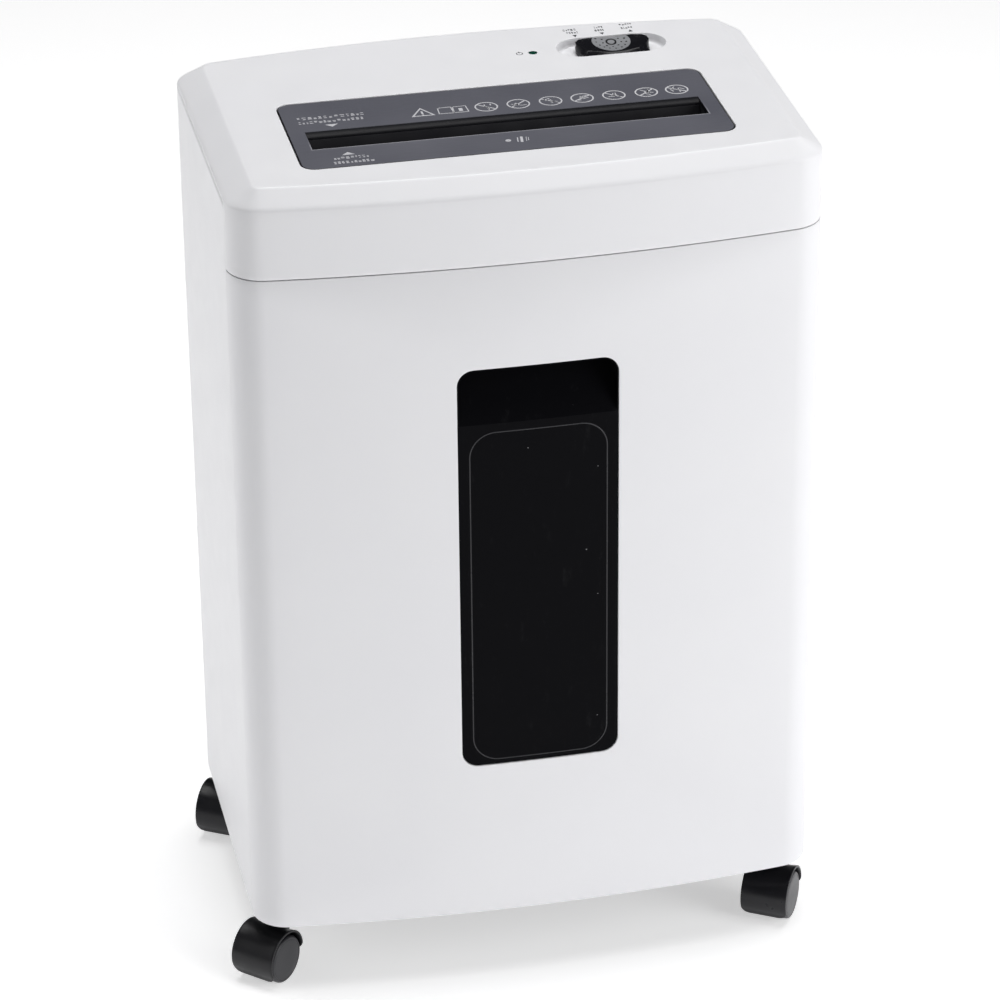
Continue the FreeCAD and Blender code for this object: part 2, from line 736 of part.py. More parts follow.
def comb(label, y, outward, first, count):
    # strippers: a bar with a finger in each gap between the blades of one shaft
    body = newBody(label)
    sign = "+" if outward > 0 else "-"
    low = "%s %s 24" % (y, sign)
    high = "%s %s 28" % (y, sign)
    edges = (low, high) if outward > 0 else (high, low)
    rail = box(edges[0], edges[1], "cutter_z - 9", "cutter_z + 9")
    block(body, "x", "-frame_inside", "frame_inside", rail)
    inner = "%s %s 1" % (y, sign)
    edges = (inner, "%s %s 25" % (y, sign)) if outward > 0 else ("%s %s 25" % (y, sign), inner)
    finger = block(
        body, "x", first, first + " + 3.4", box(edges[0], edges[1], "cutter_z - 7", "cutter_z + 7"))
    repeat(body, [finger], "x", "disc_pitch * (%s - 1)" % count, count)
    disc(body, "x", "-113", "113", (y, "cutter_z"), "shaft_radius + 0.6", cut=True)


def combs():
    gap = "(-disc_pitch * (disc_count - 1) / 2 + disc_thick / 2 + 0.5)"
    comb("comb_front", front_shaft, -1, gap, "(disc_count - 1)")
    comb("comb_rear", rear_shaft, 1, "(%s + disc_pitch / 2)" % gap, "(disc_count - 2)")


def polar(start, angle, distance):
    across = "(%s + %s * cos(%s * 1 deg))" % (start[0], distance, angle)
    up = "(%s + %s * sin(%s * 1 deg))" % (start[1], distance, angle)
    return across, up


output_centre = (rear_shaft, "cutter_z")
second_centre = polar(output_centre, "second_angle", "((output_teeth + pinion_teeth) * output_module / 2)")
first_centre = polar(second_centre, "first_angle", "((second_teeth + pinion_teeth) * second_module / 2)")
motor_centre = polar(first_centre, "motor_angle", "((first_teeth + pinion_teeth) * first_module / 2)")
rods = [("-78", "cutter_z + 20"), ("-80", "cutter_z - 22"), ("28", "cutter_z + 28"), ("8", "cutter_z - 40")]


def framePlates():
    outline = [
        ("-88", "deck_top + 22"), ("-84", "deck_top"), ("-81", "deck_top"), ("-74", "deck_top + 22"),
        ("-6", "deck_top + 22"), ("6", "deck_top"), ("92", "deck_top"), ("92", "cutter_z + 22"),
        ("40", "cutter_z + 36"), ("-60", "cutter_z + 36"), ("-88", "cutter_z + 26"),
    ]
    for label, start in (("frame_left", "-(frame_inside + frame_thick)"), ("frame_right", "frame_inside")):
        body = newBody(label)
        block(body, "x", start, start + " + frame_thick", outline)
        for y in (front_shaft, rear_shaft):
            disc(body, "x", start + " - 1", start + " + 5", (y, "cutter_z"), "bush_radius", cut=True)
        if label == "frame_right":
            disc(body, "x", start + " - 1", start + " + 5", motor_centre, "10", cut=True)
            for centre in (first_centre, second_centre):
                disc(body, "x", start + " - 1", start + " + 5", centre, "axle_radius", cut=True)


def cutterBushes():
    bushes = []
    for start in ("-(frame_inside + frame_thick + 1)", "(frame_inside - 0.8)"):
        for y in (front_shaft, rear_shaft):
            outer = cylinder(
                "bush_outside", "x", start, start + " + frame_thick + 1.8", y, "cutter_z", "bush_radius")
            bore = cylinder(
                "bush_bore", "x", start + " - 1", start + " + 9", y, "cutter_z", "journal_radius + running")
            bush = doc.addObject("Part::Cut", "bush")
            bush.Base = outer
            bush.Tool = bore
            bushes.append(bush)
    group("cutter_bushes", bushes)


def tieRods():
    group("tie_rods", [cylinder("rod", "x", "-frame_inside", "frame_inside", y, z, "4") for y, z in rods])


def motor():
    outer = cylinder(
        "can", "x", "motor_left", "frame_inside", motor_centre[0], motor_centre[1], "motor_radius")
    hollow = cylinder(
        "can_hollow", "x", "motor_left + 4", "frame_inside - 4", motor_centre[0], motor_centre[1], "28")
    bore = cylinder("can_bore", "x", "motor_left - 5", "frame_inside + 5", motor_centre[0], motor_centre[1],
                    "4 + running")
    casing = doc.addObject("Part::Cut", "motor_casing")
    casing.Label = "motor_casing"
    casing.Base = outer
    casing.Tool = fused("can_space", [hollow, bore])
    parts = [
        ("motor_left - 2", "frame_inside + 3", "4"),
        ("frame_inside + 2", "131", "axle_radius"),
        ("motor_left + 10", "motor_left + 20", "12"),
        ("motor_left + 23", "motor_left + 66", "24"),
        ("motor_left + 70", "motor_left + 78", "26"),
    ]
    rotor = [cylinder("rotor_step", "x", low, high, motor_centre[0], motor_centre[1], radius)
             for low, high, radius in parts]
    fused("motor_rotor", rotor)


def toothAngles():
    # where a tooth of each gear points at rest, in the YZ plane, so that every pair is in mesh
    def partner(angle, teeth, centre, otherTeeth, otherCentre):
        line = math.degrees(math.atan2(
            value(otherCentre[1]) - value(centre[1]), value(otherCentre[0]) - value(centre[0])))
        past = (line - angle) * teeth / 360
        return line + 180 - (360 / otherTeeth) * (0.5 - past)

    small = value("pinion_teeth")
    angles = {"output": 0.0}
    angles["second_small"] = partner(0.0, value("output_teeth"), output_centre, small, second_centre)
    angles["second_large"] = angles["second_small"]
    angles["first_small"] = partner(
        angles["second_large"], value("second_teeth"), second_centre, small, first_centre)
    angles["first_large"] = angles["first_small"]
    angles["motor"] = partner(angles["first_large"], value("first_teeth"), first_centre, small, motor_centre)
    angles["sync_rear"] = 0.0
    teeth = value("sync_teeth")
    angles["sync_front"] = partner(0.0, teeth, output_centre, teeth, (front_shaft, "cutter_z"))
    return angles


def gearBlank(label, module, teeth, start, finish, centre, angle):
    # involute teeth with a little backlash, cut as one blank along X
    builder = fcgear.FCWireBuilder()
    involute.CreateExternalGear(
        builder, value(module), int(value(teeth)), value("pressure_angle"), True, 0.95, 1.25, 0.3, -0.06)
    wire = Part.Wire([edge.toShape() for edge in builder.wire])
    blank = doc.addObject("Part::Feature", label)
    blank.Shape = Part.Face(wire).extrude(FreeCAD.Vector(0, 0, value(finish) - value(start)))
    place = FreeCAD.Vector(value(start), value(centre[0]), value(centre[1]))
    along = FreeCAD.Rotation(FreeCAD.Vector(0, 1, 0), 90)
    blank.Placement = FreeCAD.Placement(place, along * FreeCAD.Rotation(FreeCAD.Vector(0, 0, 1), angle + 90))
    return blank


def gear(label, blanks, centre, bore):
    whole = blanks[0] if len(blanks) == 1 else fused(label + "_teeth", blanks)
    piece = doc.addObject("Part::Cut", label)
    piece.Label = label
    piece.Base = whole
    piece.Tool = cylinder(label + "_bore", "x", "-140", "170", centre[0], centre[1], bore)


def gears():
    angles = toothAngles()
    pinion = gearBlank(
        "motor_teeth", "first_module", "pinion_teeth", "124", "131", motor_centre, angles["motor"])
    gear("motor_pinion", [pinion], motor_centre, "axle_radius")
    loose = "axle_radius + running"
    first = [
        gearBlank("first_large", "first_module", "first_teeth", "124.5", "130.5", first_centre,
                  angles["first_large"]),
        gearBlank("first_small", "second_module", "pinion_teeth", "130", "141", first_centre,
                  angles["first_small"]),
    ]
    gear("first_gear", first, first_centre, loose)
    second = [
        gearBlank("second_large", "second_module", "second_teeth", "132", "140", second_centre,
                  angles["second_large"]),
        gearBlank("second_small", "output_module", "pinion_teeth", "139.5", "151.5", second_centre,
                  angles["second_small"]),
    ]
    gear("second_gear", second, second_centre, loose)
    output = gearBlank("output_teeth", "output_module", "output_teeth", "141", "151", output_centre,
                       angles["output"])
    gear("output_gear", [output], output_centre, "journal_radius")
    for label, centre in (("sync_front", (front_shaft, "cutter_z")), ("sync_rear", output_centre)):
        teeth = gearBlank(
            label + "_teeth", "sync_module", "sync_teeth", "-134", "-124", centre, angles[label])
        gear(label + "_gear", [teeth], centre, "journal_radius")


def gearBracket():
    body = newBody("gear_bracket")
    outline = [
        ("-66", "cutter_z - 22"), ("16", "deck_top + 1"), ("30", "deck_top + 1"), ("82", "cutter_z + 8"),
        ("82", "cutter_z + 20"), ("-20", "cutter_z + 26"), ("-66", "cutter_z"),
    ]
    block(body, "x", "152.5", "155", outline)
    for y, z in (("-61", "cutter_z - 16"), ("22", "deck_top + 5"), ("77", "cutter_z + 14")):
        disc(body, "x", "frame_inside + frame_thick", "153", (y, z), "3.5")
    disc(body, "x", "150", "157", output_centre, "journal_radius + running", cut=True)
    for centre in (first_centre, second_centre):
        disc(body, "x", "150", "157", centre, "axle_radius", cut=True)


def gearAxles():
    pins = [cylinder("gear_axle", "x", "frame_inside", "155", centre[0], centre[1], "axle_radius")
            for centre in (first_centre, second_centre)]
    group("gear_axles", pins)


def cordGland():
    outer = cylinder("gland_flange", "y", "104.8", "107.6", "gland_x", "gland_z", "11")
    neck = cylinder("gland_neck", "y", "98", "105", "gland_x", "gland_z", "8")
    gland = doc.addObject("Part::Cut", "cord_gland")
    gland.Label = "cord_gland"
    gland.Base = fused("gland_body", [outer, neck])
    gland.Tool = cylinder("gland_bore", "y", "90", "112", "gland_x", "gland_z", "4")


# where each caster stands and which way its hood points at rest, anticlockwise from +Y
stations = [
    ("front_left", "-stem_x", "-stem_front", "yaw_front_left"),
    ("front_right", "stem_x", "-stem_front", "yaw_front_right"),
    ("rear_left", "-stem_x", "stem_rear", "yaw_rear_left"),
    ("rear_right", "stem_x", "stem_rear", "yaw_rear_right"),
]


def station(body, x, y, yaw):
    body.Placement.Rotation = FreeCAD.Rotation(FreeCAD.Vector(0, 0, 1), 1)
    body.setExpression("Placement.Base.x", tied(x))
    body.setExpression("Placement.Base.y", tied(y))
    body.setExpression("Placement.Rotation.Angle", tied(yaw + " * 1 deg"))


def arcPoint(radius, angle):
    across = "trail + (%s) * cos(%d deg)" % (radius, angle)
    up = "hood_middle + (%s) * sin(%d deg)" % (radius, angle)
    return across, up


def casterHood(name):
    # an arched hood over both wheels with a skirt on the closed side, a web between the wheels
    # and a boss for the stem
    body = newBody("hood_" + name)
    outer = "hood_radius"
    inner = "(hood_radius - hood_wall)"
    low, top, high = -28, 67, 189
    skirt = "hood_middle - 11.1"
    arch = [
        ("trail + hood_radius - 3.1", skirt),
        arcPoint(outer, low) + (outer, 1),
        arcPoint(outer, top) + (outer, 1),
        arcPoint(outer, high),
        arcPoint(inner, high) + (inner, -1),
        arcPoint(inner, top) + (inner, -1),
        arcPoint(inner, low),
        ("trail + hood_radius - 4.5", skirt),
    ]
    disc(body, "z", "hood_middle + 10", "body_bottom - 2.5", ("0", "0"), "stem_radius + 3")
    block(body, "x", "-hood_half", "hood_half", arch)
    for start, finish in (("-20", "-web_half"), ("web_half", "20")):
        disc(body, "x", start, finish, ("trail", "hood_middle"), inner, cut=True)
    web = box("trail - 11", "trail + 8", "wheel_radius - 5", "hood_middle + 14")
    block(body, "x", "-web_half", "web_half", web)
    disc(body, "x", "-5", "5", ("trail", "wheel_radius"), "2", cut=True)
    disc(body, "z", "hood_middle + 16", "body_bottom + 5", ("0", "0"), "stem_radius", cut=True)
    return body


def casterStem(name):
    body = newBody("stem_" + name)
    disc(body, "z", "hood_middle + 16", "body_bottom + 25", ("0", "0"), "stem_radius")
    disc(body, "z", "body_bottom - 2.5", "body_bottom - 0.3", ("0", "0"), "stem_radius + 3")
    return body


def casterAxle(name):
    body = newBody("axle_" + name)
    disc(body, "x", "-11.5", "11.5", ("trail", "wheel_radius"), "2")
    return body


def casterWheel(name, side):
    body = newBody("wheel_%s_%s" % (name, "right" if side > 0 else "left"))
    spans = [
        ("web_half + 0.4", "hood_half - 0.3"), ("web_half", "11.8"), ("hood_half - 1.3", "hood_half + 1")]
    if side < 0:
        spans = [("-(%s)" % high, "-(%s)" % low) for low, high in spans]
    axle = ("trail", "wheel_radius")
    disc(body, "x", spans[0][0], spans[0][1], axle, "wheel_radius")
    disc(body, "x", spans[1][0], spans[1][1], axle, "2 + running", cut=True)
    disc(body, "x", spans[2][0], spans[2][1], axle, "wheel_radius - 3.5", cut=True)
    return body


def casters():
    for name, x, y, yaw in stations:
        pieces = [casterHood(name), casterStem(name), casterAxle(name)]
        pieces += [casterWheel(name, -1), casterWheel(name, 1)]
        for piece in pieces:
            station(piece, x, y, yaw)


topCover()
sidePanels()
backPanel()
basePlate()
feedPlate()
paperChute()
paperLever()
paperSwitch()
controlBoard()
powerLens()
modeSwitch()
modeKnob()
knobPad()
binFront()
binWindow()
binTub()
binScrews()
headTray()
binSwitch()
binPlunger()
cutters()
combs()
framePlates()
cutterBushes()
tieRods()
motor()
gears()
gearBracket()
gearAxles()
cordGland()
casters()
doc.recompute()

failed = [item.Name for item in doc.Objects if "Invalid" in item.State or "Error" in item.State]
if failed:
    raise RuntimeError("failed objects: " + ", ".join(failed))

used = set()
for item in doc.Objects:
    if item.TypeId in ("Part::Compound", "Part::MultiFuse"):
        used.update(member.Name for member in item.OutList)
    if item.TypeId == "Part::Cut":
        used.update((item.Base.Name, item.Tool.Name))
kinds = ("PartDesign::Body", "Part::Compound", "Part::MultiFuse", "Part::Cut")
nodes = [item for item in doc.Objects if item.TypeId in kinds and item.Name not in used]

os.makedirs("parts", exist_ok=True)
for node in nodes:
    shape = node.Shape
    if shape.isNull() or not shape.isValid() or not shape.Solids:
        raise RuntimeError("bad shape: " + node.Label)
for node in nodes:
    node.Shape.exportStep("parts/%s.step" % node.Label)
    print(node.Label, len(node.Shape.Solids), round(node.Shape.Volume))
print(len(nodes), "nodes")
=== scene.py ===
import json
import math
import random

import bmesh
import bpy
from mathutils import Matrix, Vector


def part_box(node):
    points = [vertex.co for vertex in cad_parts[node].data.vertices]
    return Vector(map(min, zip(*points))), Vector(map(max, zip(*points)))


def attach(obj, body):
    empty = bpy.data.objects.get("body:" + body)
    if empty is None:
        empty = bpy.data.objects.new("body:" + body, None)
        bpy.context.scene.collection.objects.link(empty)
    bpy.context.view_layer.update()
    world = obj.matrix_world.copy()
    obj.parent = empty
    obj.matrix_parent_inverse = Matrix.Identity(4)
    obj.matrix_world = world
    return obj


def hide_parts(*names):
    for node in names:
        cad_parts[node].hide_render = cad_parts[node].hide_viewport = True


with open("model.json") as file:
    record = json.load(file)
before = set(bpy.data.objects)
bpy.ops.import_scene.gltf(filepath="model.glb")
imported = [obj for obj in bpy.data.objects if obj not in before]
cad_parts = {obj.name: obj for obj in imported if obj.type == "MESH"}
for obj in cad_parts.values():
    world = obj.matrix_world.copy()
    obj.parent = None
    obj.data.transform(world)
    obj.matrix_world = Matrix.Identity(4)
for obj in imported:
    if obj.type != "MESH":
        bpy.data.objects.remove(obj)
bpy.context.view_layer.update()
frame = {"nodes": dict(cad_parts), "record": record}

# Paper shredder: a white cabinet on four casters with a pull-out bin, a feed plate and a slide switch.
# Sizes in the tables are millimetres, in the frame's own axes: the front faces -Y and +Z is up.

nodes = frame["nodes"]
scene = bpy.context.scene
mm = 0.001
random.seed(11)

coverLow, coverHigh = (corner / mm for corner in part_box("top_cover"))
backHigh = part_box("back_panel")[1] / mm
body = {
    "half": coverHigh.x, "front": coverLow.y, "back": backHigh.y, "top": coverHigh.z,
    "frontBow": 11.5, "backBow": 14.0, "frontRadius": 18.0, "backRadius": 10.0,
    "bevelHeight": 9.5, "bevelSide": 14.7, "bevelFront": 9.8, "bevelBack": 13.0,
    "flatFront": 4.0, "flatBack": 6.0, "rearRadius": 12.5, "rearStart": 371.0,
    "sideSeam": -83.0, "play": 0.3, "wall": 2.5, "bowSteps": 12, "cornerSteps": 8,
}
ridge = body["top"] - body["bevelHeight"]
print("frame loaded:", len(nodes), "CAD nodes")


# ---- finishes ----

def newFinish(name):
    finish = bpy.data.materials.new(name)
    finish.use_nodes = True
    tree = finish.node_tree
    return finish, tree, tree.nodes["Principled BSDF"]


def wire(tree, source, node, socket):
    tree.links.new(source, node.inputs[socket])


def place(tree, stretch=(1, 1, 1)):
    # the piece's own coordinates in metres, stretched for a grain with a direction
    spot = tree.nodes.new("ShaderNodeTexCoord").outputs["Object"]
    if stretch == (1, 1, 1):
        return spot
    mapping = tree.nodes.new("ShaderNodeMapping")
    mapping.inputs["Scale"].default_value = stretch
    wire(tree, spot, mapping, "Vector")
    return mapping.outputs["Vector"]


def cloud(tree, spot, scale, detail=3.0, rough=0.55):
    node = tree.nodes.new("ShaderNodeTexNoise")
    node.inputs["Scale"].default_value = scale
    node.inputs["Detail"].default_value = detail
    node.inputs["Roughness"].default_value = rough
    wire(tree, spot, node, "Vector")
    return node.outputs[0]


def ranged(tree, source, low, high, fromLow=0.3, fromHigh=0.7):
    node = tree.nodes.new("ShaderNodeMapRange")
    for socket, amount in zip(("From Min", "From Max", "To Min", "To Max"), (fromLow, fromHigh, low, high)):
        node.inputs[socket].default_value = amount
    wire(tree, source, node, "Value")
    return node.outputs["Result"]


def blended(tree, factor, first, second):
    node = tree.nodes.new("ShaderNodeMix")
    node.data_type = "RGBA"
    wire(tree, factor, node, 0)
    for socket, colour in ((6, first), (7, second)):
        if isinstance(colour, tuple):
            node.inputs[socket].default_value = (*colour, 1)
        else:
            wire(tree, colour, node, socket)
    return node.outputs[2]


def sums(tree, kind, first, second):
    node = tree.nodes.new("ShaderNodeMath")
    node.operation = kind
    for socket, amount in enumerate((first, second)):
        if isinstance(amount, (int, float)):
            node.inputs[socket].default_value = amount
        else:
            wire(tree, amount, node, socket)
    return node.outputs[0]


def relief(tree, shader, height, distance, strength=1.0, below=None):
    node = tree.nodes.new("ShaderNodeBump")
    node.inputs["Strength"].default_value = strength
    node.inputs["Distance"].default_value = distance
    wire(tree, height, node, "Height")
    if below is not None:
        wire(tree, below, node, "Normal")
    wire(tree, node.outputs["Normal"], shader, "Normal")
    return node.outputs["Normal"]


def specks(tree, spot, scale, size, share):
    # a few small round flecks, one in some of the cells
    node = tree.nodes.new("ShaderNodeTexVoronoi")
    node.inputs["Scale"].default_value = scale
    wire(tree, spot, node, "Vector")
    split = tree.nodes.new("ShaderNodeSeparateColor")
    wire(tree, node.outputs["Color"], split, "Color")
    near = sums(tree, "LESS_THAN", node.outputs["Distance"], size)
    chosen = sums(tree, "LESS_THAN", split.outputs[0], share)
    return sums(tree, "MULTIPLY", near, chosen)


def mouldedPlastic(name, colour, shade, rough, grain, depth, spread=0.06, scuffs=0.0, **sockets):
    # moulded plastic: faint clouds of tone, a fine spark-eroded grain and slow waves where it cooled
    finish, tree, shader = newFinish(name)
    spot = place(tree)
    fine = cloud(tree, spot, grain, 2.0, 0.6)
    wide = cloud(tree, spot, 9.0)
    tone = blended(tree, ranged(tree, wide, 0.0, 1.0), colour, shade)
    polish = ranged(tree, cloud(tree, spot, 60.0, 4.0), rough - spread, rough + spread)
    if scuffs:
        rubbed = ranged(tree, cloud(tree, place(tree, (1, 1, 7)), 95.0, 5.0, 0.7), 0.0, 1.0, 0.62, 0.78)
        paler = tuple(min(1, c * 1.6 + 0.02) for c in colour)
        tone = blended(tree, sums(tree, "MULTIPLY", rubbed, scuffs), tone, paler)
        polish = sums(tree, "ADD", polish, sums(tree, "MULTIPLY", rubbed, scuffs * 0.4))
    wire(tree, tone, shader, "Base Color")
    wire(tree, polish, shader, "Roughness")
    waves = relief(tree, shader, wide, 0.0006, 0.12)
    relief(tree, shader, fine, depth, 0.6, waves)
    for socket, amount in sockets.items():
        shader.inputs[socket.replace("_", " ")].default_value = amount
    return finish


def workedMetal(name, colour, shade, rough, stretch, grain, depth):
    # rolled or ground metal: streaks along one axis and small dull patches
    finish, tree, shader = newFinish(name)
    streaks = cloud(tree, place(tree, stretch), grain, 5.0, 0.65)
    patches = cloud(tree, place(tree), 140.0, 4.0)
    wire(tree, blended(tree, ranged(tree, patches, 0.0, 1.0), colour, shade), shader, "Base Color")
    polish = ranged(tree, streaks, rough - 0.08, rough + 0.1)
    wire(tree, sums(tree, "ADD", polish, ranged(tree, patches, 0.0, 0.08)), shader, "Roughness")
    relief(tree, shader, streaks, depth, 0.5)
    shader.inputs["Metallic"].default_value = 1.0
    return finish


def boardFinish():
    # a circuit board's green resist with paler tracks under it
    finish, tree, shader = newFinish("circuitBoard")
    spot = place(tree)
    tracks = tree.nodes.new("ShaderNodeTexBrick")
    tracks.inputs["Scale"].default_value = 170.0
    tracks.inputs["Mortar Size"].default_value = 0.07
    tracks.inputs["Color1"].default_value = (0.006, 0.10, 0.035, 1)
    tracks.inputs["Color2"].default_value = (0.008, 0.13, 0.045, 1)
    tracks.inputs["Mortar"].default_value = (0.05, 0.30, 0.12, 1)
    wire(tree, spot, tracks, "Vector")
    wide = cloud(tree, spot, 60.0)
    green = blended(tree, ranged(tree, wide, 0.0, 0.35), tracks.outputs["Color"], (0.01, 0.06, 0.03))
    wire(tree, green, shader, "Base Color")
    wire(tree, ranged(tree, wide, 0.22, 0.4), shader, "Roughness")
    relief(tree, shader, tracks.outputs["Fac"], 0.00006, 0.5)
    return finish


def smokedFinish():
    # deep black gloss with hairline rubs and a few grains of dust
    finish, tree, shader = newFinish("smokedBlack")
    spot = place(tree)
    rubs = ranged(tree, cloud(tree, place(tree, (1, 1, 0.25)), 160.0, 6.0, 0.75), 0.0, 1.0, 0.6, 0.8)
    dust = specks(tree, spot, 150.0, 0.05, 0.08)
    marks = sums(tree, "MAXIMUM", dust, sums(tree, "MULTIPLY", rubs, 0.035))
    wire(tree, blended(tree, marks, (0.0048, 0.0048, 0.0058), (0.30, 0.30, 0.31)), shader, "Base Color")
    wide = ranged(tree, cloud(tree, spot, 24.0), 0.05, 0.10)
    wire(tree, sums(tree, "ADD", wide, sums(tree, "MULTIPLY", rubs, 0.18)), shader, "Roughness")
    relief(tree, shader, cloud(tree, spot, 14.0, 2.0), 0.0005, 0.15)
    shader.inputs["Specular IOR Level"].default_value = 0.02
    return finish


def plateFinish():
    # a slate film on the flat top of a black moulding
    finish, tree, shader = newFinish("slatePlate")
    spot = place(tree)
    split = tree.nodes.new("ShaderNodeSeparateXYZ")
    wire(tree, spot, split, "Vector")
    film = ranged(tree, split.outputs["Z"], 0.0, 1.0, 0.50700, 0.50709)
    brushed = cloud(tree, place(tree, (0.16, 1, 1)), 900.0, 4.0, 0.6)
    wide = cloud(tree, spot, 16.0)
    slate = blended(tree, ranged(tree, wide, 0.0, 1.0), (0.100, 0.102, 0.124), (0.120, 0.122, 0.145))
    slate = blended(tree, ranged(tree, brushed, 0.0, 0.25), slate, (0.085, 0.086, 0.10))
    # the top of the bead round the mouth is painted pale: a painted highlight along the lip
    beadHighlight = ranged(tree, split.outputs["Z"], 0.0, 0.8, 0.50715, 0.50721)
    slate = blended(tree, beadHighlight, slate, (0.36, 0.36, 0.39))
    wire(tree, blended(tree, film, (0.007, 0.007, 0.009), slate), shader, "Base Color")
    polish = sums(tree, "ADD", ranged(tree, wide, 0.36, 0.42), ranged(tree, brushed, 0.0, 0.05))
    wire(tree, polish, shader, "Roughness")
    relief(tree, shader, brushed, 0.000008, 0.5)
    wire(tree, ranged(tree, film, 0.12, 0.5, 0.0, 1.0), shader, "Specular IOR Level")
    return finish


coats = {
    "white_shell": mouldedPlastic(
        "whiteShell", (0.855, 0.855, 0.875), (0.835, 0.835, 0.86), 0.36, 2600.0, 0.00002,
        Specular_IOR_Level=0.45),
    "black_plastic": mouldedPlastic(
        "blackPlastic", (0.016, 0.016, 0.019), (0.022, 0.022, 0.026), 0.36, 2200.0, 0.00003, scuffs=0.12),
    "slate_plate": plateFinish(),
    "smoked_black": smokedFinish(),
    "grey_pad": mouldedPlastic(
        "greyPad", (0.20, 0.205, 0.22), (0.27, 0.275, 0.29), 0.55, 1500.0, 0.00006, spread=0.1),
    "grey_plastic": mouldedPlastic(
        "greyPlastic", (0.42, 0.43, 0.44), (0.38, 0.39, 0.40), 0.42, 1700.0, 0.00003, scuffs=0.15),
    "green_lens": mouldedPlastic(
        "greenLens", (0.004, 0.045, 0.030), (0.008, 0.07, 0.045), 0.12, 900.0, 0.00001, spread=0.04,
        Coat_Weight=0.6),
    "circuit_board": boardFinish(),
    "steel_plate": workedMetal(
        "steelPlate", (0.56, 0.57, 0.58), (0.47, 0.48, 0.49), 0.34, (1, 18, 1), 260.0, 0.00003),
    "cutter_steel": workedMetal(
        "cutterSteel", (0.48, 0.48, 0.49), (0.36, 0.36, 0.37), 0.28, (14, 1, 1), 320.0, 0.00004),
    "bronze": workedMetal(
        "bronze", (0.62, 0.38, 0.18), (0.48, 0.29, 0.13), 0.38, (1, 1, 6), 420.0, 0.00003),
    "black_rubber": mouldedPlastic(
        "blackRubber", (0.018, 0.018, 0.019), (0.028, 0.028, 0.029), 0.66, 1300.0, 0.00007, spread=0.1),
    "wheel_tread": mouldedPlastic(
        "wheelTread", (0.026, 0.026, 0.030), (0.034, 0.034, 0.039), 0.36, 1500.0, 0.00004, scuffs=0.2,
        Specular_IOR_Level=0.35),
}
hoodCoat = mouldedPlastic(
    "hoodPlastic", (0.010, 0.010, 0.012), (0.014, 0.014, 0.017), 0.33, 2400.0, 0.00002, scuffs=0.08,
    Specular_IOR_Level=0.3)
knobCoat = mouldedPlastic(
    "knobPlastic", (0.007, 0.007, 0.009), (0.010, 0.010, 0.013), 0.26, 2600.0, 0.00001, scuffs=0.06,
    Specular_IOR_Level=0.3)
# paler than the smoked window: a painted highlight for the raised line inside the window
lineHighlightCoat = mouldedPlastic(
    "windowLineHighlight", (0.020, 0.020, 0.023), (0.030, 0.030, 0.034), 0.3, 2000.0, 0.00001, Specular_IOR_Level=0.3)
paleInk = mouldedPlastic("paleInk", (0.62, 0.62, 0.64), (0.52, 0.52, 0.55), 0.5, 2600.0, 0.00001)
darkInk = mouldedPlastic("darkInk", (0.03, 0.03, 0.037), (0.06, 0.06, 0.07), 0.5, 2600.0, 0.00001)

slotOf = {part["node"]: part["material_slot"] for part in frame["record"]["subparts"]}
for nodeName, node in nodes.items():
    node.data.materials.clear()
    node.data.materials.append(coats[slotOf[nodeName]])
print("finishes made:", len(bpy.data.materials))


# ---- making pieces ----

def ring(bm, points):
    # a closed loop of edges
    verts = [bm.verts.new(point) for point in points]
    return [bm.edges.new((verts[i - 1], verts[i])) for i in range(len(verts))]


def loft(bm, loops):
    # a skin over loops that have the same number of points
    edges = [ring(bm, points) for points in loops]
    for low, high in zip(edges, edges[1:]):
        bmesh.ops.bridge_loops(bm, edges=low + high)
    return edges


def cap(bm, edges):
    # a flat face inside the outer loop and round any inner ones
    return bmesh.ops.triangle_fill(bm, use_beauty=True, use_dissolve=False, edges=edges)


def slices(bm, axis, places):
    # cuts new edges across the mesh, so that it can bend there
    normal = Vector([1.0 if axis == name else 0.0 for name in "xyz"])
    for spot in places:
        parts = bm.verts[:] + bm.edges[:] + bm.faces[:]
        bmesh.ops.bisect_plane(bm, geom=parts, dist=0.0005, plane_co=normal * spot, plane_no=normal)


def trimmed(bm, spot, normal):
    # removes what lies beyond a plane
    parts = bm.verts[:] + bm.edges[:] + bm.faces[:]
    bmesh.ops.bisect_plane(bm, geom=parts, dist=0.0005, plane_co=spot, plane_no=normal, clear_outer=True)


def softened(bm, edges, width, steps):
    bmesh.ops.bevel(
        bm, geom=edges, offset=width, offset_type="OFFSET", segments=steps, profile=0.5, affect="EDGES",
        material=-1)


def rounded(low, high, bottom, top, radius, grow=0.0, steps=8):
    # a rectangle with round corners, as pairs, anticlockwise
    radius += grow
    left, right = low - grow + radius, high + grow - radius
    down, up = bottom - grow + radius, top + grow - radius
    pairs = []
    for x, y, start in ((left, down, 180), (right, down, 270), (right, up, 0), (left, up, 90)):
        for step in range(steps + 1):
            turn = math.radians(start + 90 * step / steps)
            pairs.append((x + radius * math.cos(turn), y + radius * math.sin(turn)))
    return pairs


def circle(x, y, radius, steps=32, start=0.0):
    turns = [start + 2 * math.pi * i / steps for i in range(steps)]
    return [(x + radius * math.cos(turn), y + radius * math.sin(turn)) for turn in turns]


def flat(pairs, z):
    return [(x, y, z) for x, y in pairs]


def upright(pairs, depth):
    # a loop on the unrolled front or back: across, depth into the wall, up
    return [(x, depth, z) for x, z in pairs]


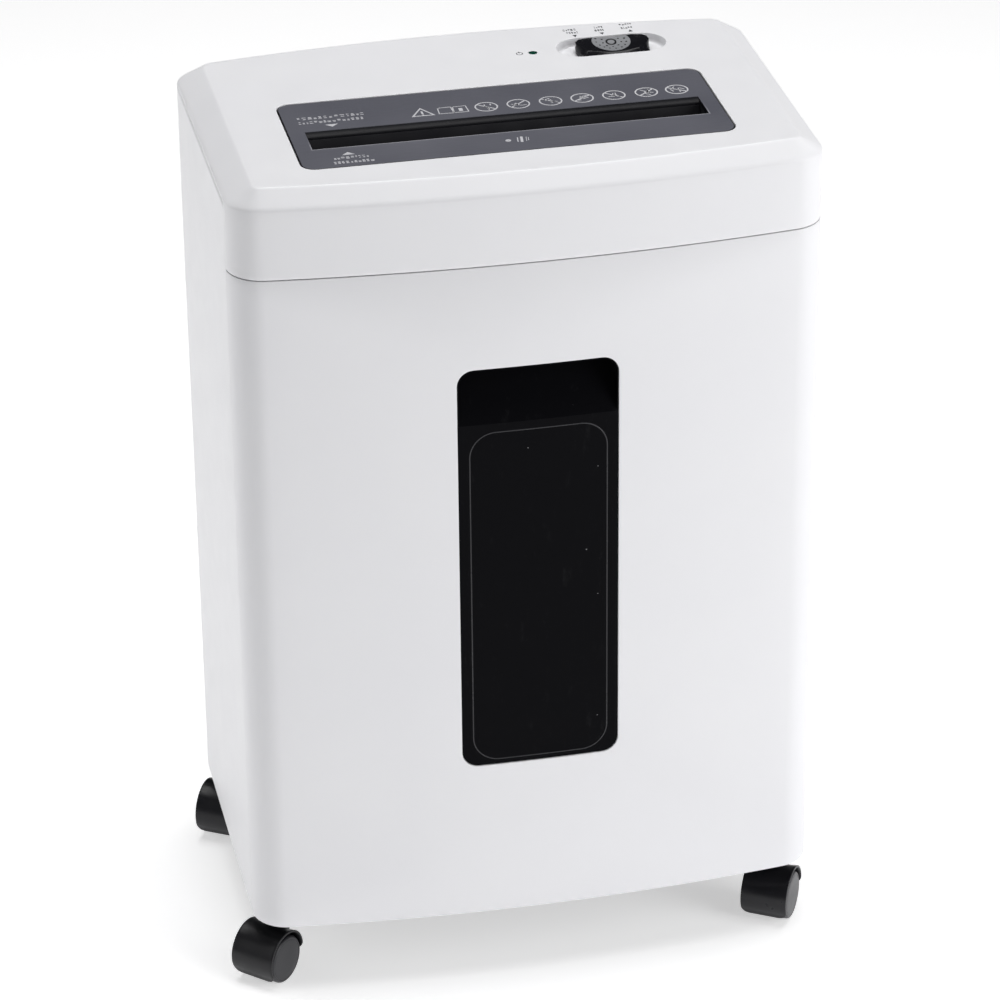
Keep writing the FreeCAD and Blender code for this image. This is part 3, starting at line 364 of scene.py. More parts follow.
def makePiece(name, bm, rides, slot=None, standsFor=(), crease=35, heart=None, turned=None, finish=None):
    # merges, turns the faces outwards, marks the sharp edges and hands the piece to its body;
    # a piece wears its slot's coat unless it brings a finish of its own
    bmesh.ops.remove_doubles(bm, verts=bm.verts, dist=0.002)
    bmesh.ops.recalc_face_normals(bm, faces=bm.faces)
    if heart is not None:
        facing = sum(
            (face.calc_center_median() - Vector(heart)).dot(face.normal) * face.calc_area()
            for face in bm.faces)
        if facing < 0:
            bmesh.ops.reverse_faces(bm, faces=bm.faces)
    for face in bm.faces:
        face.smooth = True
    for edge in bm.edges:
        if len(edge.link_faces) == 2 and edge.calc_face_angle(0) > math.radians(crease):
            edge.smooth = False
    if turned is not None:
        bmesh.ops.transform(bm, matrix=turned, verts=bm.verts)
    bmesh.ops.scale(bm, vec=(mm, mm, mm), verts=bm.verts)
    mesh = bpy.data.meshes.new(name)
    bm.to_mesh(mesh)
    bm.free()
    mesh.materials.append(finish or coats[slot])
    piece = bpy.data.objects.new(name, mesh)
    scene.collection.objects.link(piece)
    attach(piece, rides)
    if standsFor:
        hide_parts(*standsFor)
    return piece


def walled(piece, thickness):
    wall = piece.modifiers.new("wall", "SOLIDIFY")
    wall.thickness = thickness * mm
    wall.offset = -1
    wall.use_even_offset = True
    wall.use_quality_normals = True


# ---- the body's outline ----

def bow(x, amount):
    return amount * (x / body["half"]) ** 2


def rearRadius(z):
    # the back corners grow rounder towards the top
    share = min(1, max(0, (z - body["rearStart"]) / (ridge - body["rearStart"])))
    return body["backRadius"] + (body["rearRadius"] - body["backRadius"]) * share ** 2.6


def outline(z, side=0.0, front=0.0, back=0.0, frontRadius=None, backRadius=None):
    # the plan at one height, moved in at the sides, the front and the back
    bowSteps, cornerSteps = body["bowSteps"], body["cornerSteps"]
    half = body["half"] - side
    nose = body["front"] + front
    tail = body["back"] - back
    frontRadius = body["frontRadius"] if frontRadius is None else frontRadius
    backRadius = rearRadius(z) if backRadius is None else backRadius
    right = [(step / bowSteps * (half - frontRadius), nose) for step in range(bowSteps)]
    for step in range(cornerSteps + 1):
        turn = math.pi / 2 * step / cornerSteps
        right.append((
            half - frontRadius + frontRadius * math.sin(turn),
            nose + frontRadius - frontRadius * math.cos(turn)))
    right = [(x, y + bow(x, body["frontBow"])) for x, y in right]
    rear = []
    for step in range(cornerSteps + 1):
        turn = math.pi / 2 * step / cornerSteps
        rear.append((
            half - backRadius + backRadius * math.cos(turn),
            tail - backRadius + backRadius * math.sin(turn)))
    straight = half - backRadius
    rear += [(straight - step / bowSteps * straight, tail) for step in range(1, bowSteps + 1)]
    rear = [(x, y - bow(x, body["backBow"])) for x, y in rear]
    start, finish = right[-1][1], rear[0][1]
    sideways = [(half, start + (finish - start) * step / 8) for step in range(1, 8)]
    right += sideways + rear
    left = [(-x, y) for x, y in right[-2:0:-1]]
    return [(x, y, z) for x, y in right + left]


def wrapFront(bm):
    # bends an unrolled sheet round the front and its corners
    radius = body["frontRadius"]
    straight = body["half"] - radius
    for vert in bm.verts:
        along, depth, z = vert.co
        sign = 1 if along >= 0 else -1
        rest = abs(along) - straight
        if rest <= 0:
            x, y = abs(along), body["front"] + depth
        elif rest < radius * math.pi / 2:
            turn = rest / radius
            x = straight + (radius - depth) * math.sin(turn)
            y = body["front"] + radius - (radius - depth) * math.cos(turn)
        else:
            x, y = body["half"] - depth, body["front"] + radius + rest - radius * math.pi / 2
        vert.co = (sign * x, y + bow(x, body["frontBow"]), z)


def wrapBack(bm):
    for vert in bm.verts:
        x, depth, z = vert.co
        y = body["back"] - depth
        radius = rearRadius(z)
        centre = Vector((body["half"] - radius, body["back"] - radius))
        reach = Vector((abs(x), y)) - centre
        if reach.x > 0 and reach.length > radius - depth:
            bent = centre + reach.normalized() * (radius - depth)
            x, y = math.copysign(bent.x, x), bent.y
        vert.co = (x, y - bow(x, body["backBow"]), z)


def thickened(bm, wall):
    # gives an unrolled sheet its thickness
    grown = bmesh.ops.extrude_face_region(bm, geom=bm.faces[:], use_keep_orig=True)
    for part in grown["geom"]:
        if isinstance(part, bmesh.types.BMVert):
            part.co.y = wall


def softenRim(bm, z, inward, steps=((0.0, 0.5), (0.14, 0.16), (0.5, 0.0))):
    # rounds a straight top or bottom edge of an unrolled sheet
    slices(bm, "z", [z + inward * rise for rise, _ in steps[1:]])
    for rise, depth in steps:
        for vert in bm.verts:
            if abs(vert.co.z - z - inward * rise) < 0.002 and abs(vert.co.y) < 0.01:
                vert.co.y = depth


# ---- top cover ----

cover = {
    "skirt": (457.0, 457.08, 457.4, 459.0, 466.0, 475.0, 485.0, 492.0),
    "plate": (-121.4, 121.2, -75.9, 17.5, 8.4),
    "recess": (49.8, 113.8, 48.0, 76.0, 13.95),
    "slit": (67.8, 95.8, 59.5, 64.5, 2.4),
    "lens": (35.5, 60.3, 2.5),
    "thickness": 2.2,
}


def bevelLevel(share, z):
    corner = min(share, 1.0)
    return outline(
        z, body["bevelSide"] * share, body["bevelFront"] * share, body["bevelBack"] * share,
        body["frontRadius"] + (body["flatFront"] - body["frontRadius"]) * corner,
        body["rearRadius"] + (body["flatBack"] - body["rearRadius"]) * corner)


def rimmed(levels):
    # upright loops of the outline, with the lowest edge rounded
    insets = [0.5, 0.16] + [0.0] * (len(levels) - 2)
    return [outline(z, inset, inset, inset) for z, inset in zip(levels, insets)]


def coverLoops():
    loops = rimmed(cover["skirt"])
    loops.append(outline(ridge - 1.5))
    rise = body["bevelHeight"]
    for t in (0.3, 0.6, 1.0):  # round the ridge
        z = (1 - t) ** 2 * (ridge - 1.3) + 2 * t * (1 - t) * ridge + t * t * (ridge + 0.13 * rise)
        loops.append(bevelLevel(0.13 * t * t, z))
    for share in (0.2, 0.5, 0.85):
        loops.append(bevelLevel(share, ridge + share * rise))
    for t in (0.0, 0.35, 0.7, 1.0):  # and the edge of the flat top
        share = (1 - t) ** 2 * 0.94 + 2 * t * (1 - t) + t * t * 1.06
        z = (1 - t) ** 2 * (ridge + 0.94 * rise) + (2 * t * (1 - t) + t * t) * body["top"]
        loops.append(bevelLevel(share, z))
    loops.append(bevelLevel(1.2, body["top"]))
    return loops


def openingLoops(shape, drops):
    # loops from the flat top down into an opening: how far out, and how far down
    return [flat(rounded(*shape, grow=grow), body["top"] - drop) for grow, drop in drops]


def beyondOpenings(spot):
    return abs(spot.x) > 140 or spot.y > 85


def buildCover():
    bm = bmesh.new()
    skin = loft(bm, coverLoops())
    rim = [(0.9, 0.0), (0.5, 0.0), (0.14, 0.1), (0.0, 0.4)]
    plateHole = loft(bm, openingLoops(cover["plate"], rim + [(0.0, 2.9)]))
    dish = rim + [(-0.25, 3.2), (-0.6, 4.2), (-1.2, 4.75), (-2.0, 4.95), (-3.0, 5.0)]
    recess = loft(bm, openingLoops(cover["recess"], dish))
    slit = loft(bm, openingLoops(cover["slit"], [(0.3, 5.0), (0.08, 5.05), (0.0, 5.3), (0.0, 7.0)]))
    x, y, radius = cover["lens"]
    lensHole = loft(bm, [flat(circle(x, y, radius + grow), body["top"] - drop) for grow, drop in rim])
    cap(bm, skin[-1] + plateHole[0] + recess[0] + lensHole[0])
    cap(bm, recess[-1] + slit[0])
    # behind the side seams the skirt gives way to the side and back panels
    seamY = body["sideSeam"] + body["play"] / 2
    skirtTop = ridge - 1.5
    low = [face for face in bm.faces if face.calc_center_median().z < skirtTop]
    parts = {item for face in low for item in (face, *face.edges, *face.verts)}
    bmesh.ops.bisect_plane(
        bm, geom=list(parts), dist=0.0005, plane_co=(0, seamY, 0), plane_no=(0, 1, 0))
    gone = [
        face for face in bm.faces
        if max(vert.co.z for vert in face.verts) <= skirtTop + 0.01
        and face.calc_center_median().y > seamY and beyondOpenings(face.calc_center_median())
    ]
    bmesh.ops.delete(bm, geom=gone, context="FACES")
    piece = makePiece(
        "coverShell", bm, "cabinet", "white_shell", ["top_cover"], 32, (0, 0, 300))
    walled(piece, cover["thickness"])


buildCover()
print("top cover built")


# ---- side and back panels ----

panel = {
    "levels": (43.7, 43.82, 44.2, 46.0, 110.0, 180.0, 250.0, 320.0, 371.0, 390.0, 405.0, 418.0, 430.0, 441.0,
               451.0, 460.0, 468.0, 475.0, 481.0, 487.0, 492.0, 496.2),
    "rearSeam": 156.0, "ventFirst": 22.0, "ventPitch": 7.0, "ventCount": 13, "ventHalf": 2.0,
    "ventLow": 402.3, "ventHigh": 448.3, "glandX": -110.0, "glandZ": 427.3, "spotFace": 104.8,
    "spotRadius": 11.5, "glandRadius": 8.0,
}


def sidePanel(side, name, node):
    bm = bmesh.new()
    loft(bm, rimmed(panel["levels"]))
    trimmed(bm, (0, body["sideSeam"] + body["play"] / 2, 0), (0, -1, 0))
    trimmed(bm, (side * (panel["rearSeam"] + 0.15), 0, 0), (-side, 0, 0))
    piece = makePiece(name, bm, "cabinet", "white_shell", [node], 40, (0, 0, 250))
    walled(piece, body["wall"])


def buildBack():
    bm = bmesh.new()
    edge, low, high = panel["rearSeam"], panel["levels"][0], panel["levels"][-1]
    outer = ring(bm, upright([(-edge, low), (edge, low), (edge, high), (-edge, high)], 0))
    rims = ((0.7, 0.0), (0.3, 0.0), (0.07, 0.08), (0.0, 0.3))
    holes = []
    for number in range(panel["ventCount"]):
        x = panel["ventFirst"] + number * panel["ventPitch"]
        half = panel["ventHalf"]
        shape = (x - half, x + half, panel["ventLow"], panel["ventHigh"], half - 0.05)
        holes += loft(bm, [upright(rounded(*shape, grow=grow, steps=4), depth) for grow, depth in rims])[0]
    x, z = panel["glandX"], panel["glandZ"]

    def seat(radius):
        # the flat seat of the cord gland cuts into the bowed wall
        return [
            (across, max(0.05, body["back"] - bow(across, body["backBow"]) - panel["spotFace"]), up)
            for across, up in circle(x, z, radius, 48)
        ]

    seatRadius = panel["spotRadius"]
    rim = [upright(circle(x, z, seatRadius + grow, 48), 0) for grow in (0.6, 0.2)]
    holes += loft(bm, rim + [seat(seatRadius), seat(panel["glandRadius"] + 0.1)])[0]
    cap(bm, outer + holes)
    slices(bm, "x", [-150 + step * 12.5 for step in range(25)])
    slices(bm, "x", (-153.5, 153.5, 143.8, -143.8, 146.9, -146.9))
    slices(bm, "z", panel["levels"][3:-1])
    softenRim(bm, low, 1)
    thickened(bm, body["wall"])
    wrapBack(bm)
    makePiece("backShell", bm, "cabinet", "white_shell", ["back_panel"], 40)


sidePanel(-1, "leftShell", "side_panel_left")
sidePanel(1, "rightShell", "side_panel_right")
buildBack()
print("side and back panels built")


# ---- bin front and its window ----

binSkin = {
    "bottom": 43.7, "top": 456.5, "reach": 175.7,
    "window": (-45.6, 45.6, 143.0, 395.0, 9.5),
    "insert": (-45.35, 45.35, 143.25, 394.75, 9.25), "insertDepth": 0.3, "lip": 0.55,
    "fold": 361.3, "pullBack": 17.0, "pullTop": 391.5,
    "line": (-39.0, 39.0, 146.5, 356.0, 15.0),
}


def columns():
    # where the front bends: evenly across the bow, closely round the corners
    straight = body["half"] - body["frontRadius"]
    across = [straight * step / 12 for step in range(-12, 13)]
    arc = body["frontRadius"] * math.pi / 2
    turns = [straight + arc * step / 10 for step in range(1, 11)]
    return sorted(across + turns + [-spot for spot in turns])


def buildBinFront():
    bm = bmesh.new()
    reach, low, high = binSkin["reach"], binSkin["bottom"], binSkin["top"]
    outer = ring(bm, upright([(-reach, low), (reach, low), (reach, high), (-reach, high)], 0))
    rims = ((1.0, 0.0), (0.5, 0.0), (0.14, 0.12), (0.0, 0.45))
    hole = loft(bm, [upright(rounded(*binSkin["window"], grow=grow), depth) for grow, depth in rims])
    cap(bm, outer + hole[0])
    slices(bm, "x", [spot for spot in columns() if abs(spot) < reach - 0.3])
    softenRim(bm, low, 1)
    softenRim(bm, high, -1)
    thickened(bm, body["wall"])
    wrapFront(bm)
    makePiece("binSkin", bm, "bin", "white_shell", ["bin_front"], 40)


def buildWindow():
    bm = bmesh.new()
    start = binSkin["insertDepth"]
    rims = ((-0.3, start), (-0.12, start + 0.03), (0.0, start + 0.25), (0.0, 2.6))
    outer = loft(bm, [upright(rounded(*binSkin["insert"], grow=grow), depth) for grow, depth in rims])
    low, high, _, top, radius = binSkin["insert"]
    lip = binSkin["lip"]
    mouth = upright(openTop(low + lip, high - lip, binSkin["fold"], top - lip, radius - lip), start)
    deep = [(x, binSkin["pullBack"] + 4, z) for x, _, z in mouth]
    pull = bmesh.new()
    loft(pull, [mouth, deep])
    slope = Vector((0, binSkin["pullBack"] - start, binSkin["pullTop"] - binSkin["fold"])).normalized()
    across = Vector((0, slope.z, -slope.y))
    trimmed(pull, (0, start, binSkin["fold"]), across)
    bottomless = [edge for edge in pull.edges if edge.is_boundary]
    rim = [edge for edge in bottomless if any(vert.co.y > start + 0.01 for vert in edge.verts)]
    fold = [
        vert for vert in pull.verts
        if abs(vert.co.z - binSkin["fold"]) < 0.01 and abs(vert.co.y - start) < 0.01
    ]
    ends = sorted(fold, key=lambda vert: vert.co.x)
    rim.append(pull.edges.get((ends[0], ends[-1])) or pull.edges.new((ends[0], ends[-1])))
    bmesh.ops.contextual_create(pull, geom=rim)
    bmesh.ops.triangulate(pull, faces=pull.faces[:])
    spare = bpy.data.meshes.new("spare")
    pull.to_mesh(spare)
    pull.free()
    mouthEdges = ring(bm, mouth)
    cap(bm, outer[0] + mouthEdges)
    bm.from_mesh(spare)
    bpy.data.meshes.remove(spare)
    bmesh.ops.remove_doubles(bm, verts=bm.verts, dist=0.002)
    slices(bm, "x", [spot for spot in columns() if abs(spot) < 44])
    wrapFront(bm)
    piece = makePiece(
        "windowInsert", bm, "bin", "smoked_black", ["bin_window"], 14, (0, 0, 270))
    walled(piece, 0.7)


def buildWindowLineHighlight():
    # a fine raised line inside the edge of the window, in a paler grey than the window: a painted highlight
    # along the line
    bm = bmesh.new()
    section = ((0.34, 0.3), (0.26, 0.24), (-0.26, 0.24), (-0.34, 0.3))
    loft(bm, [upright(rounded(*binSkin["line"], grow=grow, steps=12), depth) for grow, depth in section])
    slices(bm, "x", [spot for spot in columns() if abs(spot) < 44])
    wrapFront(bm)
    makePiece("windowLineHighlight", bm, "bin", "smoked_black", (), 60, (0, 0, 270), finish=lineHighlightCoat)


def openTop(low, high, bottom, top, radius):
    # square at the bottom, round at the top
    pairs = [(low, bottom), (high, bottom)]
    return pairs + rounded(low, high, bottom, top, radius)[18:]


buildBinFront()
buildWindow()
buildWindowLineHighlight()
print("bin front and window built")


# ---- feed plate ----

plate = {
    "shape": (-120.8, 120.7, -75.3, 17.1, 7.9), "top": 507.1, "bottom": 504.4,
    "slot": (-111.0, 111.0, -48.6, -28.9),
    "roll": 6.2, "steps": 9,
}


def slotLoop(front, back, frontZ, backZ, side):
    # a rectangle whose back edge may lie lower than its front edge
    left, right = plate["slot"][0] - side, plate["slot"][1] + side
    corners = [(left, front, frontZ), (right, front, frontZ), (right, back, backZ), (left, back, backZ)]
    points = []
    for number, steps in enumerate((12, 6, 12, 6)):
        start, finish = Vector(corners[number]), Vector(corners[(number + 1) % 4])
        points += [tuple(start.lerp(finish, step / steps)) for step in range(steps)]
    return points


def buildPlate():
    bm = bmesh.new()
    top = plate["top"]
    deep = top - plate["bottom"]
    rims = ((-0.9, 0.0), (-0.5, 0.02), (-0.25, 0.14), (-0.08, 0.4), (0.0, 0.75), (0.0, deep))
    outer = loft(bm, [flat(rounded(*plate["shape"], grow=grow), top - drop) for grow, drop in rims])
    front, back = plate["slot"][2:]
    roll = plate["roll"]  # the mouth's back edge rolls down into the slot
    loops = [slotLoop(front - 1.2, back + roll + 0.8, top, top, 1.2)]
    for out, rise in ((1.0, 0.04), (0.8, 0.11), (0.55, 0.13)):  # a fine bead round the mouth
        loops.append(slotLoop(front - out, back + roll + 0.5 * out, top + rise, top, out))
    loops.append(slotLoop(front - 0.3, back + roll, top + 0.08, top, 0.3))
    for step in range(1, plate["steps"] + 1):
        turn = math.pi / 2 * step / plate["steps"]
        lip = min(1.0, step / 3)
        loops.append(slotLoop(
            front - 0.3 + 0.3 * lip, back + roll - roll * math.sin(turn),
            top - 0.3 * lip ** 2 - 0.25 * max(0, step - 3),
            top - deep * (1 - math.cos(turn)), 0.3 - 0.3 * lip))
    loops.append(slotLoop(front, back, plate["bottom"], plate["bottom"], 0.0))
    mouth = loft(bm, loops)
    cap(bm, outer[0] + mouth[0])
    cap(bm, outer[-1] + mouth[-1])
    makePiece("feedDeck", bm, "cabinet", "slate_plate", ["feed_plate"], 38)


buildPlate()
print("feed plate built")


# ---- slide switch ----

knob = {
    "x": 83.5, "y": 62.0, "half": 21.2, "backY": 10.0, "frontY": -8.6, "taperLeft": 4.4, "taperRight": 8.8,
    "footLeft": 23.2, "footRight": (19.5, 22.5), "footBack": 11.2, "footFront": -11.6, "footZ": 503.2,
    "footSpread": 8.4, "lip": 0.35,
    "top": 508.0, "crest": 0.55, "crestAt": 11.5, "scoop": 1.8, "travel": (-10.5, 7.5), "clearance": 0.3,
    "padX": 82.7, "padY": 66.2, "padRadius": 11.2, "padChord": 71.5, "padRise": 0.25, "dot": 0.42,
}


def saddle(x, y):
    # the top of the knob: low in the middle, two crests, and a scoop that deepens towards the front
    across = (x - knob["x"]) / knob["crestAt"]
    forward = min(1.0, max(0.0, (knob["y"] + knob["backY"] - y) / 9.0))
    hollow = max(0.0, 1 - (across * 0.74) ** 2)
    crest = knob["crest"] * math.exp(-((abs(across) - 1) / 0.45) ** 2) * (1 - 0.7 * forward)
    ends = 0.05 * max(0.0, abs(across) - 1.2)
    return knob["top"] + crest - ends - knob["scoop"] * hollow * (0.06 + 0.94 * forward ** 1.3)


def followRecess(bm):
    # the ends follow the round ends of the recess, so the knob clears them at both limits
    low, high, front, back, radius = cover["recess"]
    left, right = knob["travel"]
    for vert in bm.verts:
        depth = (knob["top"] - vert.co.z) / (knob["top"] - knob["footZ"])
        room = radius - knob["clearance"] - 0.6 * max(0.0, depth)
        reach = math.sqrt(max(0.0, room ** 2 - (vert.co.y - (front + back) / 2) ** 2))
        vert.co.x = max(low + radius - reach - left, min(high - radius + reach - right, vert.co.x))


def buildKnob():
    bm = bmesh.new()
    bmesh.ops.create_grid(bm, x_segments=44, y_segments=20, size=1)
    for vert in bm.verts:
        across, along = vert.co.x, (vert.co.y + 1) / 2
        tight = max(0.0, 0.62 - along) / 0.62
        inward = knob["taperLeft"] * tight if across < 0 else knob["taperRight"] * tight ** 1.3
        x = knob["x"] + across * (knob["half"] - inward)
        y = knob["y"] + knob["frontY"] + along * (knob["backY"] - knob["frontY"])
        vert.co = (x, y, saddle(x, y))
    rim = [edge for edge in bm.edges if edge.is_boundary]
    for share, part in ((0.5, 0.55), (1.0, 1.0)):  # two rows of faces down to the foot
        grown = bmesh.ops.extrude_edge_only(bm, edges=rim)
        rim = [item for item in grown["geom"] if isinstance(item, bmesh.types.BMEdge)]
        for vert in {vert for edge in rim for vert in edge.verts}:
            x, y = vert.co.x - knob["x"], vert.co.y - knob["y"]
            back = min(1.0, max(0.0, (y - knob["frontY"]) / (knob["backY"] - knob["frontY"])))
            right = knob["footRight"][0] + (knob["footRight"][1] - knob["footRight"][0]) * back
            end = knob["footLeft"] if x < 0 else right
            goalX = max(-knob["footLeft"], min(right, x / knob["half"] * 1.3 * end))
            goalY = knob["footBack"] if y > 0 else -knob["footFront"]
            goalY *= max(-1.0, min(1.0, y / knob["footSpread"]))
            corner = max(0.0, abs(goalX) - end + 3.0) / 3.0
            goalY *= 1 - 0.12 * corner ** 2
            vert.co.x += (goalX - x) * part
            vert.co.y += (goalY - y) * part
            vert.co.z += (knob["footZ"] - vert.co.z) * share
    bmesh.ops.edgeloop_fill(bm, edges=rim)
    followRecess(bm)
    lip = [
        edge for edge in bm.edges
        if len(edge.link_faces) == 2 and edge.calc_face_angle(0) > math.radians(38)
        and min(vert.co.z for vert in edge.verts) > knob["footZ"] + 2.6
    ]
    softened(bm, lip, knob["lip"], 3)
    makePiece("slideKnob", bm, "knob", "black_plastic", ["mode_knob"], 42, finish=knobCoat)


def padShape(grow):
    # a round pad cut straight at the back
    start = math.asin((knob["padChord"] - knob["padY"]) / knob["padRadius"])
    radius, steps = knob["padRadius"] + grow, 40
    pairs = []
    for step in range(steps + 1):
        turn = math.pi - start + (math.pi + 2 * start) * step / steps
        y = min(knob["padY"] + radius * math.sin(turn), knob["padChord"] + grow)
        pairs.append((knob["padX"] + radius * math.cos(turn), y))
    return pairs


def settled(bm):
    # lays flat work on the knob's curved top
    for vert in bm.verts:
        vert.co.z += saddle(vert.co.x, vert.co.y)


def buildPad():
    bm = bmesh.new()
    section = ((0, -0.9), (0, 0.1), (-0.12, 0.2), (-0.4, knob["padRise"]))
    outer = loft(bm, [flat(padShape(grow), height) for grow, height in section])
    cap(bm, outer[-1])
    cap(bm, outer[0])
    slices(bm, "x", [knob["padX"] + step * 1.1 for step in range(-10, 11)])
    slices(bm, "y", [knob["padY"] + step * 1.1 for step in range(-10, 7)])
    settled(bm)
    makePiece("fingerPad", bm, "knob", "grey_pad", ["knob_pad"], 35)


def buildPadDots():
    # moulded dots and a small ring that give the finger some grip
    bm = bmesh.new()
    spots = []
    for reach, count in ((5.4, 9), (8.6, 15)):
        for number in range(count):
            turn = 2 * math.pi * number / count + reach
            far = reach + random.uniform(-0.6, 0.6)
            x = knob["padX"] + far * math.cos(turn)
            y = knob["padY"] + far * math.sin(turn)
            if y < knob["padChord"] - 0.9:
                spots.append((x, y, random.uniform(0.45, 0.68), knob["padRise"]))
    for number in range(9):
        x, y = random.uniform(14.0, 17.0), random.uniform(5.5, 9.0)
        spots.append((knob["x"] + x, knob["y"] + y, knob["dot"], 0.0))
    for x, y in ((-15.5, 8.4), (-13.2, 7.8), (-17.0, 6.9)):
        spots.append((knob["x"] + x, knob["y"] + y, knob["dot"], 0.0))
    for x, y, radius, base in spots:
        shapes = ((1, base - 0.2), (1, base + 0.08), (0.6, base + 0.2))
        loops = [flat(circle(x, y, radius * size, 10), rise) for size, rise in shapes]
        cap(bm, loft(bm, loops)[-1])
    section = ((3.2, -0.2), (3.2, 0.06), (3.0, 0.12), (2.3, 0.12), (2.1, 0.06), (2.1, -0.2))
    x, y, base = knob["padX"], knob["padY"], knob["padRise"]
    loft(bm, [flat(circle(x, y, radius, 28), base + rise) for radius, rise in section])
    settled(bm)
    makePiece("padDots", bm, "knob", "black_plastic", finish=knobCoat)


def buildLens():
    bm = bmesh.new()
    x, y, radius = cover["lens"]
    section = ((0.10, -10.8), (0.10, -0.25), (0.3, 0.05), (0.9, 0.2), (1.7, 0.3))
    loops = [flat(circle(x, y, radius - inset), body["top"] + rise) for inset, rise in section]
    edges = loft(bm, loops)
    cap(bm, edges[0])
    cap(bm, edges[-1])
    makePiece("powerLight", bm, "cabinet", "green_lens", ["power_lens"], 30)


buildKnob()
buildPad()
buildPadDots()
buildLens()
print("slide switch built")


# ---- printed marks, all plain shapes ----

ink = {"thick": 0.05, "caption": 3.0, "stroke": 0.7, "fine": 0.6, "signs": -11.3}


def bar(bm, x, y, width, height, z, lean=0.0):
    made = bmesh.ops.create_cube(bm, size=1)
    turn = Matrix.Rotation(math.radians(lean), 4, "Z")
    size = Matrix.Diagonal((width, height, ink["thick"], 1))
    bmesh.ops.transform(bm, matrix=Matrix.Translation((x, y, z)) @ turn @ size, verts=made["verts"])


def hoop(bm, x, y, radius, z, line, count=32):
    # a flat ring or, with three points, an outlined triangle
    low, high = z - ink["thick"] / 2, z + ink["thick"] / 2
    start = math.pi / 2 if count == 3 else 0.0
    outer = circle(x, y, radius, count, start)
    inner = circle(x, y, radius - line / math.cos(math.pi / count), count, start)
    loft(bm, [flat(outer, low), flat(outer, high), flat(inner, high), flat(inner, low), flat(outer, low)])


def wedge(bm, x, y, width, height, z):
    # a solid triangle, pointing to the back or, with a negative height, to the front
    low, high = z - ink["thick"] / 2, z + ink["thick"] / 2
    shape = [(x - width / 2, y - height / 2), (x + width / 2, y - height / 2), (x, y + height / 2)]
    edges = loft(bm, [flat(shape, low), flat(shape, high)])
    cap(bm, edges[0])
    cap(bm, edges[1])


def strokes(bm, left, right, y, height, z, size, line):
    # a caption's place, filled with short level strokes
    x = left
    while x + size * 0.4 < right:
        width = min(size * random.uniform(0.5, 1.0), right - x)
        for level in random.sample((-1, 0, 1), random.choice((2, 2, 3))):
            short = width * random.uniform(0.6, 1.0)
            bar(bm, x + width / 2, y + level * (height - line) / 2, short, line, z)
        x += width + size * 0.24


def buildPlateMarks():
    bm = bmesh.new()
    z = plate["top"] + ink["thick"] * 0.3
    captions = (
        (-112.5, -75, -5, 3.0), (-112.5, -75, -11, 2.6),
        (-102, -81.5, -63.3, 2.3), (-103, -80.5, -69.3, 2.3))
    for left, right, y, size in captions:
        strokes(bm, left, right, y, ink["caption"], z, size, ink["stroke"])
    wedge(bm, -94.9, -17.6, 7.2, -3.6, z)
    wedge(bm, -93.3, -57.8, 7.2, 3.6, z)
    hoop(bm, -43.2, -12.4, 7.8, z, 0.95, 3)
    bar(bm, -43.2, -11.6, 1.1, 4.2, z)
    bar(bm, -43.2, -15.0, 1.1, 1.1, z)
    row, fine = ink["signs"], ink["fine"]
    for x in (-30.0, -21.6):  # an open book
        for side in (-1, 1):
            bar(bm, x + side * 3.9, row, fine, 8.8, z, side * 3)
            bar(bm, x, row + side * 4.2, 7.8, fine, z, side * 2)
    bar(bm, -21.4, -11.9, 2.2, 4.0, z)
    for number, x in enumerate((-6.8, 11.4, 29.8, 47.8, 66.0, 84.6, 102.1)):
        hoop(bm, x, row, 6.6, z, 0.85)
        bar(bm, x, row, 12.0, 0.85, z, (-42, 42, -38, 35)[number % 4])
        for step in range(5 + number % 3):
            spot = (x + random.uniform(-3.0, 3.0), row + random.uniform(-3.0, 3.0))
            bar(bm, *spot, random.uniform(1.6, 4.4), fine, z, random.uniform(0, 180))
    hoop(bm, -4.9, -60.6, 1.6, z, 1.3, 16)
    for x, width, height in ((0.4, 0.6, 5.8), (2.6, 1.5, 7.4), (5.2, 0.35, 5.8), (6.4, 0.35, 4.4)):
        bar(bm, x, -60.5, width, height, z, -8)
    makePiece("plateMarks", bm, "cabinet", finish=paleInk)


def buildCoverMarks():
    bm = bmesh.new()
    z = body["top"] + ink["thick"] * 0.3
    hoop(bm, 27.7, 60.3, 2.0, z, 0.45, 24)
    bar(bm, 27.7, 62.0, 0.5, 2.2, z)
    for x, wide, y, height in (
            (63.5, 8.5, 89.0, 2.4), (64.0, 6.7, 84.6, 2.6), (80.4, 5.2, 89.4, 2.4), (80.4, 6.2, 84.8, 2.6),
            (96.6, 7.4, 90.2, 2.4), (96.4, 6.8, 84.9, 2.6)):
        strokes(bm, x - wide / 2, x + wide / 2, y, height, z, 1.5, 0.72)
    for x, y in ((64.5, 79.2), (80.6, 79.4), (97.4, 80.2)):
        wedge(bm, x, y, 2.6, -3.2 if x < 90 else 3.2, z)
    makePiece("coverMarks", bm, "cabinet", finish=darkInk)


buildPlateMarks()
buildCoverMarks()
print("marks built")


# ---- casters ----

caster = {
    "trail": 9.5, "wheelRadius": 14.5, "middle": 16.4, "radius": 16.7, "wall": 1.4, "half": 14.1, "web": 2.2,
    "skirtY": 23.1, "skirtZ": 5.3, "dip": 0.7, "skirt": 3.6, "low": -28, "high": 189, "corner": 5.0,
    "stemBore": 4.05, "axleBore": 2.06,
    "places": {
        "front_left": (-151.8, -75.8, 136.0), "front_right": (151.8, -75.8, 148.0),
        "rear_left": (-151.8, 88.0, 148.0), "rear_right": (151.8, 88.0, 222.0),
    },
}


def station(name):
    x, y, yaw = caster["places"][name]
    return Matrix.Translation((x, y, 0)) @ Matrix.Rotation(math.radians(yaw), 4, "Z")


